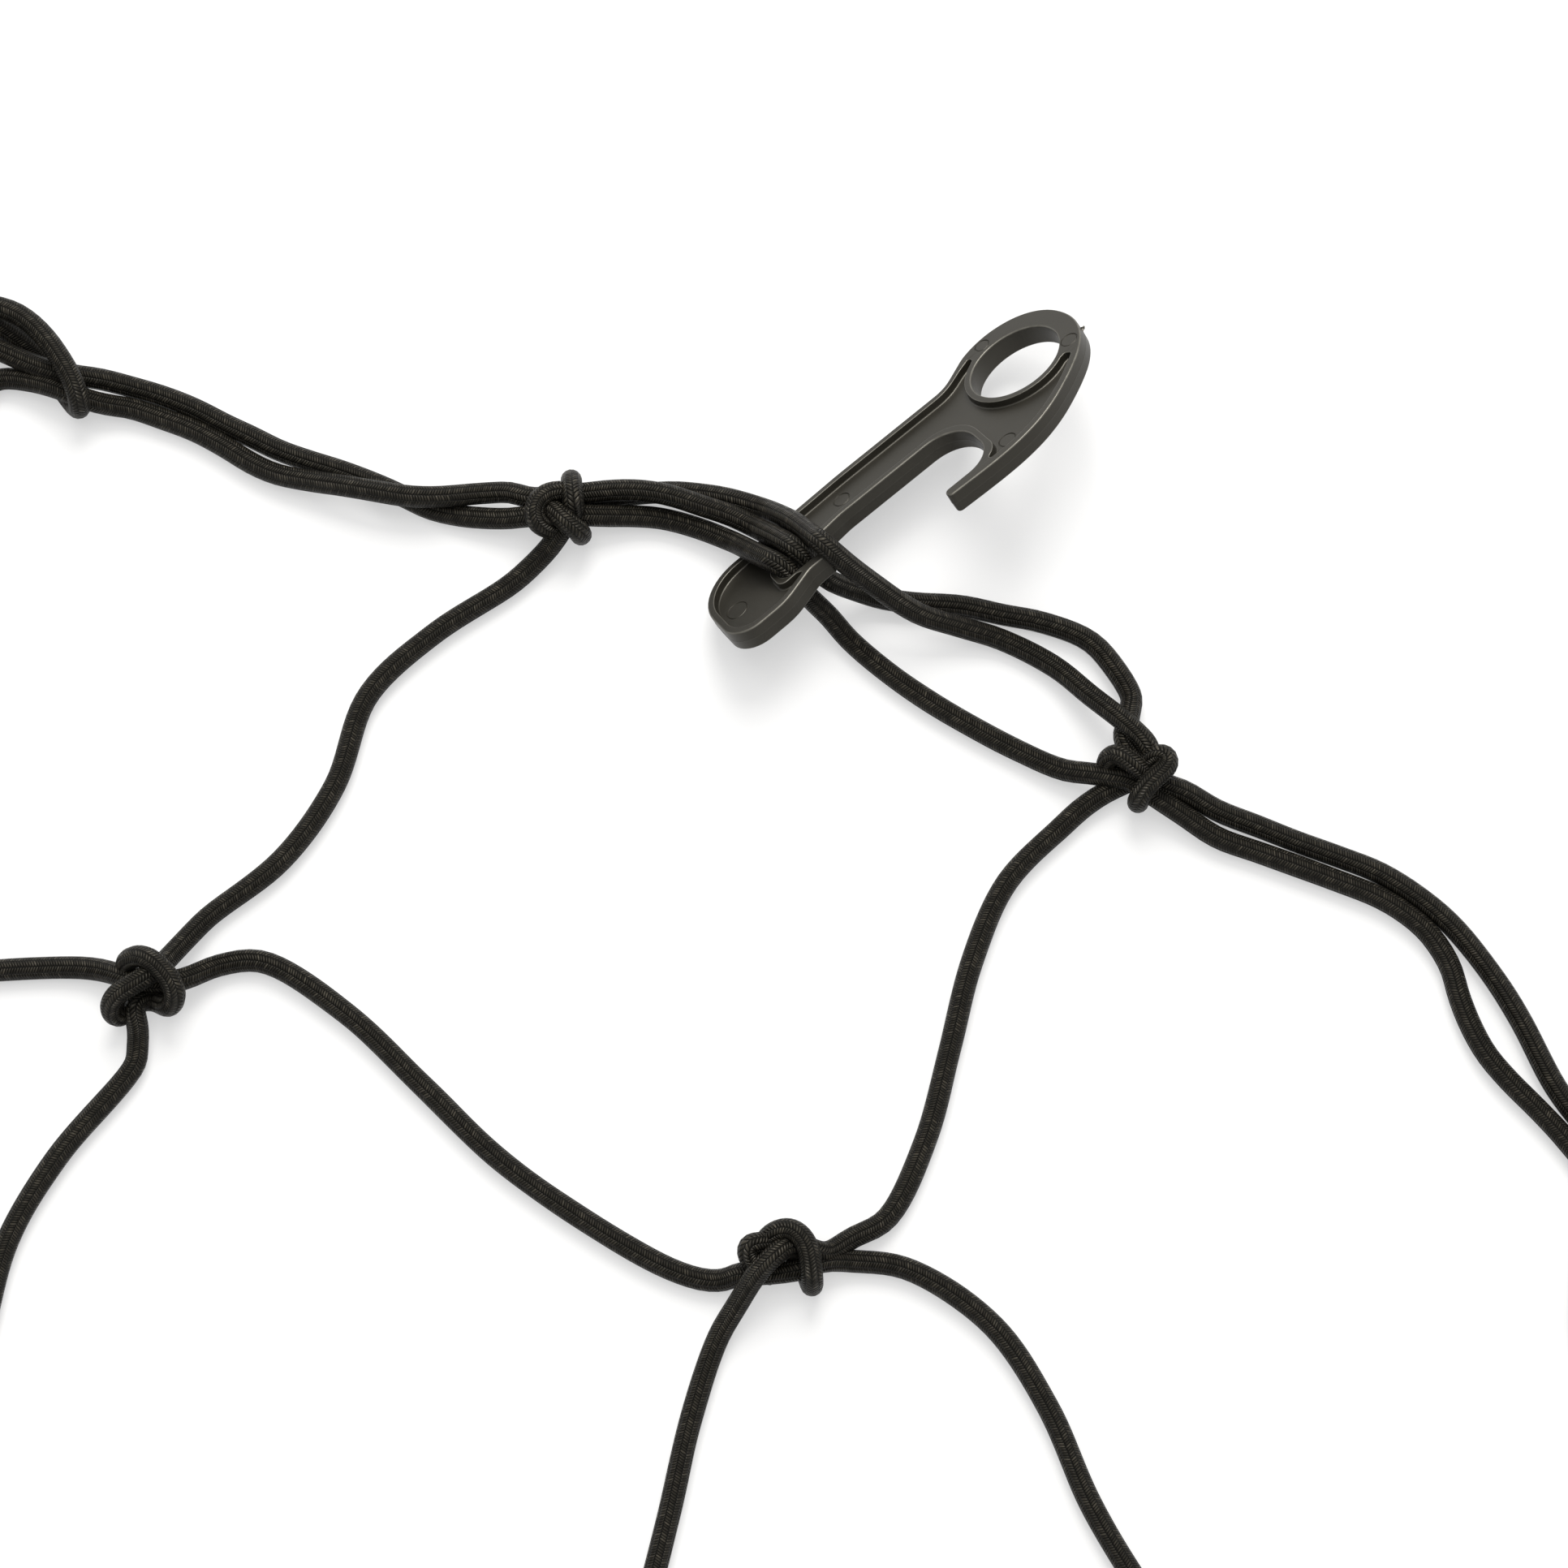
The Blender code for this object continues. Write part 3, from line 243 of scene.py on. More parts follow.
# Knots, x, y, z from the knot's place. Border knots "first" and "last" stand at the start and at the end of a section
# with a turn that runs at REFERENCE degrees. Mesh knots "round" and "flat" stand on a row whose chords average this.
REFERENCE = {"first": 6.75, "last": 6.75, "round": 15.2, "flat": -3.4}
KNOTS = {
    "first": {
        "cord": ((0.3, -21.1, 2.5), (2.3, -13.9, 3.0), (3.4, -9.3, 4.5), (3.9, -6.4, 6.5), (4.1, -3.5, 8.0)),
        "hitch": (
            (-1.6, -2.8, 8.0), (0.1, -2.9, 9.5), (3.3, -3.9, 11.3), (6.0, -4.3, 11.2), (8.0, -4.2, 9.5), (8.4, -3.8, 7.0),
            (7.7, -3.5, 4.5), (4.6, -0.9, 2.5), (0.4, 4.3, 2.5), (-0.7, 5.9, 4.6), (-0.6, 5.9, 7.2), (0.3, 4.8, 9.6),
            (1.6, 3.1, 11.2), (3.3, 1.0, 11.8), (4.4, -0.6, 8.5),
        ),
        "bight": (
            (1.6, 2.5, 8.8), (-0.6, 1.4, 10.4), (-2.6, -0.9, 11.2), (-3.3, -3.7, 11.4), (-2.6, -6.2, 11.0),
            (-0.8, -7.5, 10.0), (0.8, -7.2, 8.6), (2.4, -6.0, 6.5),
        ),
        "outer_before": ((-15.8, -6.3, 4.4), (-11.1, -3.5, 5.2), (-6.0, -2.3, 6.3)),
        "inner_before": ((-12.6, -11.1, 3.6), (-7.8, -8.7, 5.0), (-4.5, -6.6, 6.3)),
    },
    "last": {
        "cord": ((-6.7, -20.0, 2.5), (-5.2, -14.5, 2.6), (-3.0, -9.5, 3.2), (-0.9, -6.0, 3.4), (1.0, -3.0, 3.2)),
        "left": (
            (-3.4, -4.4, 3.4), (-5.2, -4.0, 5.2), (-5.6, -2.8, 8.0), (-4.5, -1.6, 10.0), (-2.1, -1.6, 11.0),
            (0.6, -1.8, 10.6), (2.6, -2.0, 9.0),
        ),
        "right": (
            (2.2, 0.7, 8.0), (2.9, 2.4, 10.5), (4.1, 3.4, 11.5), (5.8, 3.3, 11.8), (6.6, 1.8, 11.8), (6.1, -0.8, 11.8),
            (5.3, -3.5, 11.5), (4.9, -5.9, 10.5), (4.9, -7.6, 8.5), (5.0, -7.7, 6.0), (4.4, -5.1, 3.0), (3.2, -1.5, 2.5),
            (1.6, 1.6, 3.5),
        ),
        "outer_after": ((6.9, -0.8, 6.0), (12.3, 0.4, 5.0)),
        "inner_after": ((7.3, -4.3, 6.0), (15.1, -4.2, 4.0)),
    },
    "round": {
        "column": (
            (3.3, 20.5, 2.5), (2.4, 14.7, 3.5), (1.9, 9.5, 5.0), (1.9, 5.8, 7.5), (1.6, 2.8, 10.0), (0.9, 0.3, 11.3),
            (-0.5, -2.7, 11.6), (-1.9, -5.6, 11.0), (-2.2, -8.0, 9.0), (-1.2, -9.2, 6.5), (0.1, -8.2, 4.0),
            (-0.6, -4.3, 2.5), (-2.9, -0.8, 2.5), (-4.8, 1.0, 4.5), (-5.0, 1.8, 7.5), (-3.8, 3.2, 10.5),
            (-1.8, 4.4, 12.0), (1.1, 4.6, 13.0), (4.6, 3.9, 13.0), (7.6, 2.6, 12.5), (9.1, 0.7, 10.5), (8.7, -1.2, 8.0),
            (6.5, -1.5, 5.2), (4.2, -1.5, 3.4), (2.4, -2.8, 4.5), (1.7, -5.4, 6.5), (3.6, -7.4, 5.5), (5.2, -9.6, 3.5),
            (6.6, -12.2, 2.6), (8.2, -15.3, 2.5),
        ),
        "column_core": (3, 28),
        "row": (
            (-15.6, -4.8, 2.5), (-9.8, -2.1, 3.5), (-3.8, -0.8, 6.0), (1.2, 0.7, 6.5), (4.6, 2.9, 6.3), (7.5, 5.9, 5.5),
            (9.0, 8.7, 4.0), (11.5, 12.7, 2.6),
        ),
        "row_core": (2, 6),
        "middle": (1.2, 0.7),
    },
    "flat": {
        "column": (
            (11.0, 10.6, 3.5), (8.2, 4.8, 5.0), (6.1, 3.6, 7.0), (2.5, 2.6, 8.0), (-1.3, 1.1, 8.5), (-3.7, -0.8, 9.5),
            (-5.0, -2.1, 10.3), (-6.4, -3.0, 10.6), (-6.4, -4.4, 10.5), (-5.2, -5.6, 9.5), (-3.2, -5.8, 8.0),
            (-1.1, -6.1, 5.0), (0.4, -5.5, 3.0), (-2.0, -4.0, 2.5), (-3.5, -2.3, 4.0), (-4.2, -1.6, 7.0),
            (-3.8, 0.9, 10.0), (-2.6, 2.8, 11.0), (-0.8, 4.0, 11.6), (1.8, 4.0, 12.0), (4.4, 2.8, 12.0), (6.5, 0.6, 11.6),
            (8.2, -1.5, 10.5), (9.1, -2.8, 8.0), (9.3, -3.2, 5.5), (7.4, -1.5, 2.8), (4.9, 0.3, 2.5), (2.4, 1.2, 5.0),
            (1.1, 0.9, 8.5), (0.2, -0.2, 11.0), (-0.8, -3.6, 12.5), (-1.7, -7.5, 11.0), (-2.2, -15.3, 6.0),
            (-2.1, -23.5, 3.0),
        ),
        "column_core": (2, 33),
        "row": (
            (-11.1, -13.9, 2.5), (-7.6, -11.7, 3.0), (-5.1, -8.8, 5.0), (-1.9, -7.2, 6.0), (2.0, -4.3, 6.0),
            (5.1, -1.6, 6.0), (8.6, 3.0, 4.5), (13.6, 6.4, 2.6),
        ),
        "row_core": (2, 7),
        "middle": (1.0, -4.0),
    },
}


def knot(i, j):
    if (i, j) in PLACED_KNOTS:
        return np.array(PLACED_KNOTS[i, j])
    x = COLUMN_PITCH * (i - 5) - 8.0 * math.sin(0.9 * j) + 4.0 * math.sin(1.3 * i + 0.7 * j)
    wave = (50.0 - 6.0 * j) * math.cos(math.tau * (i - 5.85 - 0.25 * j) / 6.5)
    return np.array((x, -34.0 - ROW_PITCH * j + wave))


def border_knots(side):
    across, down = range(COLUMNS + 1), range(ROWS + 1)
    return {
        "top": [knot(i, 0) for i in across],
        "right": [knot(COLUMNS, j) for j in down],
        "bottom": [knot(i, ROWS) for i in reversed(across)],
        "left": [knot(0, j) for j in reversed(down)],
    }[side]


def frame_of(start, end):
    length = float(np.linalg.norm(end - start))
    along = (end - start) / length
    return length, along, np.array((-along[1], along[0]))


def heading(start, end):
    return math.degrees(math.atan2(end[1] - start[1], end[0] - start[0]))


def scatter(seed):
    return math.sin(2.399963 * seed + 1.7 * math.sin(5.1 * seed))


def sway_length(chord, sways):
    steps = np.array((0.0, *sways, 0.0))
    return float(np.hypot(chord / (len(steps) - 1), np.diff(steps)).sum())


def slant(sways, chord):
    slopes = np.gradient(np.array((0.0, *sways, 0.0)), chord / 7.0)[1:-1]
    return np.sqrt(1.0 + slopes ** 2)


def common_sways(chord, seed, cord):
    t = np.arange(1, 7) / 7.0
    mix = math.pi * scatter(seed)
    shape = math.cos(mix) * np.sin(math.pi * t) + 0.62 * math.sin(mix) * np.sin(math.tau * t)
    low, high = 0.0, MOST_SWAY
    for _ in range(30):
        middle = 0.5 * (low + high)
        low, high = (middle, high) if sway_length(chord, middle * shape) < cord else (low, middle)
    return low * shape


def chord_points(start, end, sways, heights):
    length, along, left = frame_of(start, end)
    return [(*(start + along * (length * k / 7.0) + left * sway), height, 1.0)
            for k, (sway, height) in enumerate(zip(sways, heights), 1)]


def turned(rows, place, degrees, middle=(0.0, 0.0)):
    """Table rows turned about the knot's middle and set down at the knot's place."""
    c, s = math.cos(math.radians(degrees)), math.sin(math.radians(degrees))
    out = []
    for row in rows:
        x, y = row[0] - middle[0], row[1] - middle[1]
        share = row[3] if len(row) > 3 else 1.0
        out.append((place[0] + middle[0] * 0.0 + x * c - y * s, place[1] + x * s + y * c, row[2], share))
    return out


def joined(*parts, near=6.5):
    """One list from several, where a plain section gives way to the knots' rows near its ends."""
    out = []
    for kind, rows in parts:
        if kind == "plain":
            rows = [dict(row=row, plain=True) for row in rows]
        else:
            rows = [dict(row=row, plain=False) for row in rows]
        out += rows
    fixed = np.array([r["row"][:2] for r in out if not r["plain"]])
    kept = []
    for r in out:
        if r["plain"] and len(fixed) and np.linalg.norm(fixed - np.array(r["row"][:2]), axis=1).min() < near:
            continue
        kept.append(r["row"])
    return kept


# ---------------------------------------------------------------------------------------------------------------------
# Paths
# ---------------------------------------------------------------------------------------------------------------------
def hook_along(side, section):
    seed = SIDES.index(side) + 0.37 * section
    return HOOK_ALONG + (0.0 if (side, section) == ("top", 5) else HOOK_SHIFT * scatter(seed))


def hook_frame(side, section):
    ends = border_knots(side)
    _, along, left = frame_of(ends[section], ends[section + 1])
    turn = Matrix(((along[0], left[0], 0.0), (along[1], left[1], 0.0), (0.0, 0.0, 1.0)))
    axis = (turn @ Vector(HOOK_AXIS)).normalized()
    across = turn @ Vector(HOOK_ACROSS)
    across = (across - axis * across.dot(axis)).normalized()
    normal = across.cross(axis)
    place = ends[section] + along * hook_along(side, section) + left * HOOK_OUT
    return Vector((*place, HOOK_HEIGHT)), axis, across, normal


def hooked_points(side, section, strand):
    ends = border_knots(side)
    start, end = ends[section], ends[section + 1]
    length, along, left = frame_of(start, end)
    origin, axis, across, normal = hook_frame(side, section)
    shift = hook_along(side, section) - HOOK_ALONG
    near, far = 10.0, HOOK_ALONG - 13.2
    past = HOOK_ALONG + 12.0
    rows = []
    for row in HOOKED_STRANDS[strand]:
        if row[0] == "hook":
            _, a, b, c, share = row
            rows.append((*(origin + axis * a + across * b + normal * c), share))
            continue
        kind, s, out, height = row
        if kind == "end":
            s += length
        elif s < HOOK_ALONG:
            s += shift * max(0.0, s - near) / (far - near)
        else:
            s = past + shift + (s - past) * (length - past - shift) / (COLUMN_PITCH - past)
        rows.append((*(start + along * s + left * out), height, 1.0))
    return rows


def border_knot(side, k):
    """Kind, place and turn in degrees of the k-th knot of a side, not counting the side's first corner."""
    ends = border_knots(side)
    if k % 2 and k < len(ends) - 1:
        return "first", ends[k], heading(ends[k], ends[k + 1]) - REFERENCE["first"]
    return "last", ends[k], heading(ends[k - 1], ends[k]) - REFERENCE["last"]


def pair_points(side, section):
    """The outer and the inner strand between two knots, with the rows that belong to the knots themselves."""
    ends = border_knots(side)
    start, end = ends[section], ends[section + 1]
    if section in HOOKS[side]:
        return hooked_points(side, section, "outer"), hooked_points(side, section, "inner")
    before, after = {"outer": [], "inner": []}, {"outer": [], "inner": []}
    if section > 0:
        kind, place, turn = border_knot(side, section)
        if kind == "last":
            for name in before:
                before[name] = turned(KNOTS["last"][name + "_after"], place, turn)
        else:
            _, along, left = frame_of(start, end)
            for name, out in (("outer", 2.2), ("inner", -2.9)):
                before[name] = [(*(place + along * s + left * out), z, 1.0) for s, z in ((4.0, 6.4), (10.0, 4.6))]
    if section < len(ends) - 2:
        kind, place, turn = border_knot(side, section + 1)
        for name in after:
            rows = KNOTS["first"][name + "_before"]
            after[name] = turned(rows if (side, section) == CROSSING_SECTION else rows[-1:], place, turn)
    if (side, section) == CROSSING_SECTION:
        middle = {name: [(*row, 1.0) for row in CROSSING_ROWS[name]] for name in ("outer", "inner")}
        before["outer"] = before["outer"][:1]
        after = {"outer": after["inner"], "inner": after["outer"]}
    elif (side, section) == WIDE_SECTION:
        middle = {name: [(*row, 1.0) for row in WIDE_ROWS[name]] for name in WIDE_ROWS}
        after = {"outer": [], "inner": []}
    else:
        length, _, _ = frame_of(start, end)
        seed = 10 * SIDES.index(side) + section + 3
        sways = common_sways(length, seed, CELL_CORD)
        t = np.arange(1, 7) / 7.0
        half = (PAIR_OFFSET + (1.6 + 1.4 * scatter(seed + 0.5)) * np.sin(math.pi * t) ** 2) * slant(sways, length)
        middle = {"outer": chord_points(start, end, sways + half, (LOW,) * 6),
                  "inner": chord_points(start, end, sways - half, (LOW,) * 6)}
    return tuple(joined(("knot", before[name]), ("plain", middle[name]), ("knot", after[name]))
                 for name in ("outer", "inner"))


def border_loops():
    """The border as it runs: twice round the net, as the two strands change places once. Rows, and for each side the
    index where each strand starts, outer strand first."""
    strands = {"A": [], "B": []}
    starts = []
    outer_name, inner_name = "A", "B"
    for number, side in enumerate(SIDES):
        ends = border_knots(side)
        count = len(ends) - 1
        _, along_out, left_out = frame_of(ends[0], ends[1])
        previous = border_knots(SIDES[number - 1])
        _, along_in, left_in = frame_of(previous[-2], previous[-1])
        corner = (left_in + left_out) / float((left_in + left_out) @ (left_in + left_out)) * 2.0
        starts.append({outer_name: len(strands[outer_name]) + 1, inner_name: len(strands[inner_name]) + 1,
                       "order": (outer_name, inner_name)})
        for name, sign in ((outer_name, 1.0), (inner_name, -1.0)):
            strands[name].append((*(ends[0] - along_in * 7.5 + left_in * sign * PAIR_OFFSET), 5.6, 1.0))
            strands[name].append((*(ends[0] + corner * sign * PAIR_OFFSET), 6.5, 1.0))
            strands[name].append((*(ends[0] + along_out * 8.0 + left_out * sign * PAIR_OFFSET), 5.2, 1.0))
        for section in range(count):
            outer, inner = pair_points(side, section)
            last = section == count - 1
            if last and section in HOOKS[side]:
                outer, inner = outer[:-4], inner[:-2]
            strands[outer_name] += outer
            strands[inner_name] += inner
            if (side, section) == CROSSING_SECTION:
                outer_name, inner_name = inner_name, outer_name
    return strands, starts


def smooth(points, steps=10, closed=False):
    """Centripetal Catmull-Rom curve through the points."""
    p = np.array(points, float)
    if closed:
        p = np.vstack((p[-1], p, p[:2]))
    else:
        p = np.vstack((2 * p[0] - p[1], p, 2 * p[-1] - p[-2]))
    spans = np.sqrt(np.maximum(np.linalg.norm(np.diff(p[:, :3], axis=0), axis=1), 1e-6))
    knots = np.concatenate(((0.0,), np.cumsum(spans)))
    n = len(p) - 3
    share = (np.arange(steps) / steps)[None, :, None]
    k = np.arange(1, n + 1)
    t0, t1, t2, t3 = (knots[k + d][:, None, None] for d in (-1, 0, 1, 2))
    p0, p1, p2, p3 = (p[k + d][:, None, :] for d in (-1, 0, 1, 2))
    t = t1 + (t2 - t1) * share
    a1 = p0 * (t1 - t) / (t1 - t0) + p1 * (t - t0) / (t1 - t0)
    a2 = p1 * (t2 - t) / (t2 - t1) + p2 * (t - t1) / (t2 - t1)
    a3 = p2 * (t3 - t) / (t3 - t2) + p3 * (t - t2) / (t3 - t2)
    b1 = a1 * (t2 - t) / (t2 - t0) + a2 * (t - t0) / (t2 - t0)
    b2 = a2 * (t3 - t) / (t3 - t1) + a3 * (t - t1) / (t3 - t1)
    out = (b1 * (t2 - t) / (t2 - t1) + b2 * (t - t1) / (t2 - t1)).reshape(-1, p.shape[1])
    return out if closed else np.vstack((out, p[-2]))


def relaxed(curve, passes=6):
    """The curve with its small kinks eased, as a springy cord's are. Its ends stay."""
    out = curve.copy()
    for _ in range(passes):
        out[1:-1] += 0.25 * (out[:-2] + out[2:] - 2 * out[1:-1])
    return out


def even(curve, least=0.8, most=2.3):
    """The curve with its points an even share of the bend apart."""
    steps = np.linalg.norm(np.diff(curve[:, :3], axis=0), axis=1)
    s = np.concatenate(((0.0,), np.cumsum(steps)))
    count = max(8, int(s[-1] / 0.5))
    grid = np.linspace(0.0, s[-1], count)
    fine = np.column_stack([np.interp(grid, s, curve[:, c]) for c in range(curve.shape[1])])
    fine = relaxed(fine, 8)
    way = np.gradient(fine[:, :3], axis=0)
    way /= np.linalg.norm(way, axis=1)[:, None]
    bend = np.linalg.norm(np.gradient(way, grid[1] - grid[0], axis=0), axis=1)
    bend = np.convolve(np.pad(bend, 4, mode="edge"), np.ones(9) / 9.0, mode="valid")
    density = 1.0 / np.clip(0.16 / np.maximum(bend, 1e-6), least, most)
    run = np.concatenate(((0.0,), np.cumsum(0.5 * (density[1:] + density[:-1]) * np.diff(grid))))
    wanted = np.linspace(0.0, run[-1], max(6, int(math.ceil(run[-1]))) + 1)
    at = np.interp(wanted, run, grid)
    return np.column_stack([np.interp(at, grid, fine[:, c]) for c in range(fine.shape[1])])


# ---------------------------------------------------------------------------------------------------------------------
# Cord meshes
# ---------------------------------------------------------------------------------------------------------------------
SIDES_ROUND = 16


def tube(path, seed):
    """Points, faces and UVs of a closed tube. U runs round the cord and V along it, in metres."""
    p = path[:, :3]
    n = len(p)
    way = np.gradient(p, axis=0)
    way /= np.linalg.norm(way, axis=1)[:, None]
    normals = np.zeros((n, 3))
    start = np.array((0.0, 0.0, 1.0)) if abs(way[0, 2]) < 0.9 else np.array((1.0, 0.0, 0.0))
    start = start - way[0] * (start @ way[0])
    normals[0] = start / np.linalg.norm(start)
    for k in range(n - 1):
        v = p[k + 1] - p[k]
        c = v @ v
        r = normals[k] - v * (2.0 / c * (v @ normals[k]))
        w = way[k] - v * (2.0 / c * (v @ way[k]))
        v2 = way[k + 1] - w
        c2 = v2 @ v2
        turned_normal = r - v2 * (2.0 / c2 * (v2 @ r)) if c2 > 1e-12 else r
        turned_normal -= way[k + 1] * (turned_normal @ way[k + 1])
        normals[k + 1] = turned_normal / np.linalg.norm(turned_normal)
    sides = np.cross(way, normals)
    s = np.concatenate(((0.0,), np.cumsum(np.linalg.norm(np.diff(p, axis=0), axis=1))))
    angle = np.arange(SIDES_ROUND) * math.tau / SIDES_ROUND
    swell = 1.0 + 0.010 * np.sin(s / 7.3 + seed) + 0.006 * np.sin(s / 2.9 + 2.1 * seed)
    radius = CORD_RADIUS * path[:, 3] * swell
    ring = p[:, None, :] + radius[:, None, None] * (
        np.cos(angle)[None, :, None] * normals[:, None, :] + np.sin(angle)[None, :, None] * sides[:, None, :])
    points = [ring.reshape(-1, 3)]
    quads, uvs = [], []
    index = np.arange(n * SIDES_ROUND).reshape(n, SIDES_ROUND)
    a, b = index[:-1], np.roll(index[:-1], -1, axis=1)
    c, d = np.roll(index[1:], -1, axis=1), index[1:]
    quads = np.stack((a, b, c, d), axis=2).reshape(-1, 4)
    u0 = np.broadcast_to(np.arange(SIDES_ROUND) / SIDES_ROUND, (n - 1, SIDES_ROUND))
    u1 = u0 + 1.0 / SIDES_ROUND
    v0 = np.broadcast_to(s[:-1, None] * MM, u0.shape)
    v1 = np.broadcast_to(s[1:, None] * MM, u0.shape)
    uvs = np.stack((np.stack((u0, v0), 2), np.stack((u1, v0), 2), np.stack((u1, v1), 2), np.stack((u0, v1), 2)),
                   axis=2).reshape(-1, 4, 2)
    # rounded ends
    total = n * SIDES_ROUND
    ends = []
    for at, outward, base in ((0, -way[0], index[0][::-1]), (n - 1, way[-1], index[-1])):
        previous = base
        for share, rise in ((0.82, 0.45), (0.45, 0.75)):
            order = np.arange(SIDES_ROUND)[::-1] if at == 0 else np.arange(SIDES_ROUND)
            cap = p[at] + outward * rise * radius[at] * 0.6 + share * (ring[at][order] - p[at])
            points.append(cap)
            here = np.arange(total, total + SIDES_ROUND)
            total += SIDES_ROUND
            ends.append(np.stack((previous, np.roll(previous, -1), np.roll(here, -1), here), axis=1))
            previous = here
        points.append((p[at] + outward * 0.55 * radius[at])[None, :])
        ends.append(np.stack((previous, np.roll(previous, -1), np.full(SIDES_ROUND, total)), axis=1))
        total += 1
    return np.vstack(points), quads, uvs, ends, s[-1]


def cord_mesh(name, paths):
    """One mesh object from one or more cord paths."""
    points, quads, uvs, caps = [], [], [], []
    total, length = 0, 0.0
    for number, path in enumerate(paths):
        made = tube(path, 1.7 * number + len(name))
        points.append(made[0])
        quads.append(made[1] + total)
        uvs.append(made[2])
        caps += [c + total for c in made[3]]
        total += len(made[0])
        length += made[4]
    co = np.vstack(points)
    co[:, 0] -= CENTRE_X
    co[:, 1] -= CENTRE_Y
    co *= MM
    faces = np.vstack(quads)
    uv = np.vstack(uvs)
    corner_list = [faces.ravel()]
    sizes = [np.full(len(faces), 4)]
    uv_list = [uv.reshape(-1, 2)]
    for cap in caps:
        corner_list.append(cap.ravel())
        sizes.append(np.full(len(cap), cap.shape[1]))
        uv_list.append(np.zeros((cap.size, 2)))
    corners = np.concatenate(corner_list).astype(np.int32)
    sizes = np.concatenate(sizes).astype(np.int32)
    mesh = bpy.data.meshes.new(name)
    mesh.vertices.add(len(co))
    mesh.vertices.foreach_set("co", co.astype(np.float32).ravel())
    mesh.loops.add(len(corners))
    mesh.loops.foreach_set("vertex_index", corners)
    mesh.polygons.add(len(sizes))
    mesh.polygons.foreach_set("loop_start", np.concatenate(((0,), np.cumsum(sizes)[:-1])).astype(np.int32))
    layer = mesh.uv_layers.new(name="UVMap")
    mesh.update(calc_edges=True)
    layer.data.foreach_set("uv", np.vstack(uv_list).astype(np.float32).ravel())
    mesh.polygons.foreach_set("use_smooth", np.ones(len(sizes), bool))
    mesh.validate()
    obj = bpy.data.objects.new(name, mesh)
    scene.collection.objects.link(obj)
    return obj, length


# ---------------------------------------------------------------------------------------------------------------------
# Materials
# ---------------------------------------------------------------------------------------------------------------------
class Nodes:
    """Short hand for building a node tree."""

    def __init__(self, name):
        self.material = bpy.data.materials.new(name)
        self.material.use_nodes = True
        self.tree = self.material.node_tree
        self.shader = self.tree.nodes["Principled BSDF"]

    def add(self, kind, **settings):
        node = self.tree.nodes.new(kind)
        for key, value in settings.items():
            setattr(node, key, value)
        return node

    def link(self, source, target):
        self.tree.links.new(source, target)

    def math(self, operation, first, second=None, third=None, clamp=False):
        node = self.add("ShaderNodeMath", operation=operation, use_clamp=clamp)
        for socket, value in zip(node.inputs, (first, second, third)):
            if value is None:
                continue
            if isinstance(value, (int, float)):
                socket.default_value = value
            else:
                self.link(value, socket)
        return node.outputs[0]

    def mix(self, factor, first, second):
        node = self.add("ShaderNodeMix", data_type="RGBA")
        for socket, value in ((node.inputs["Factor"], factor), (node.inputs[6], first), (node.inputs[7], second)):
            if isinstance(value, (int, float)):
                socket.default_value = value
            elif isinstance(value, tuple):
                socket.default_value = (*value, 1.0)
            else:
                self.link(value, socket)
        return node.outputs[2]

    def curve(self, value, stops):
        node = self.add("ShaderNodeValToRGB")
        ramp = node.color_ramp
        while len(ramp.elements) < len(stops):
            ramp.elements.new(0.5)
        for element, (at, level) in zip(ramp.elements, stops):
            element.position = at
            element.color = (level, level, level, 1.0)
        self.link(value, node.inputs[0])
        return node.outputs[0]


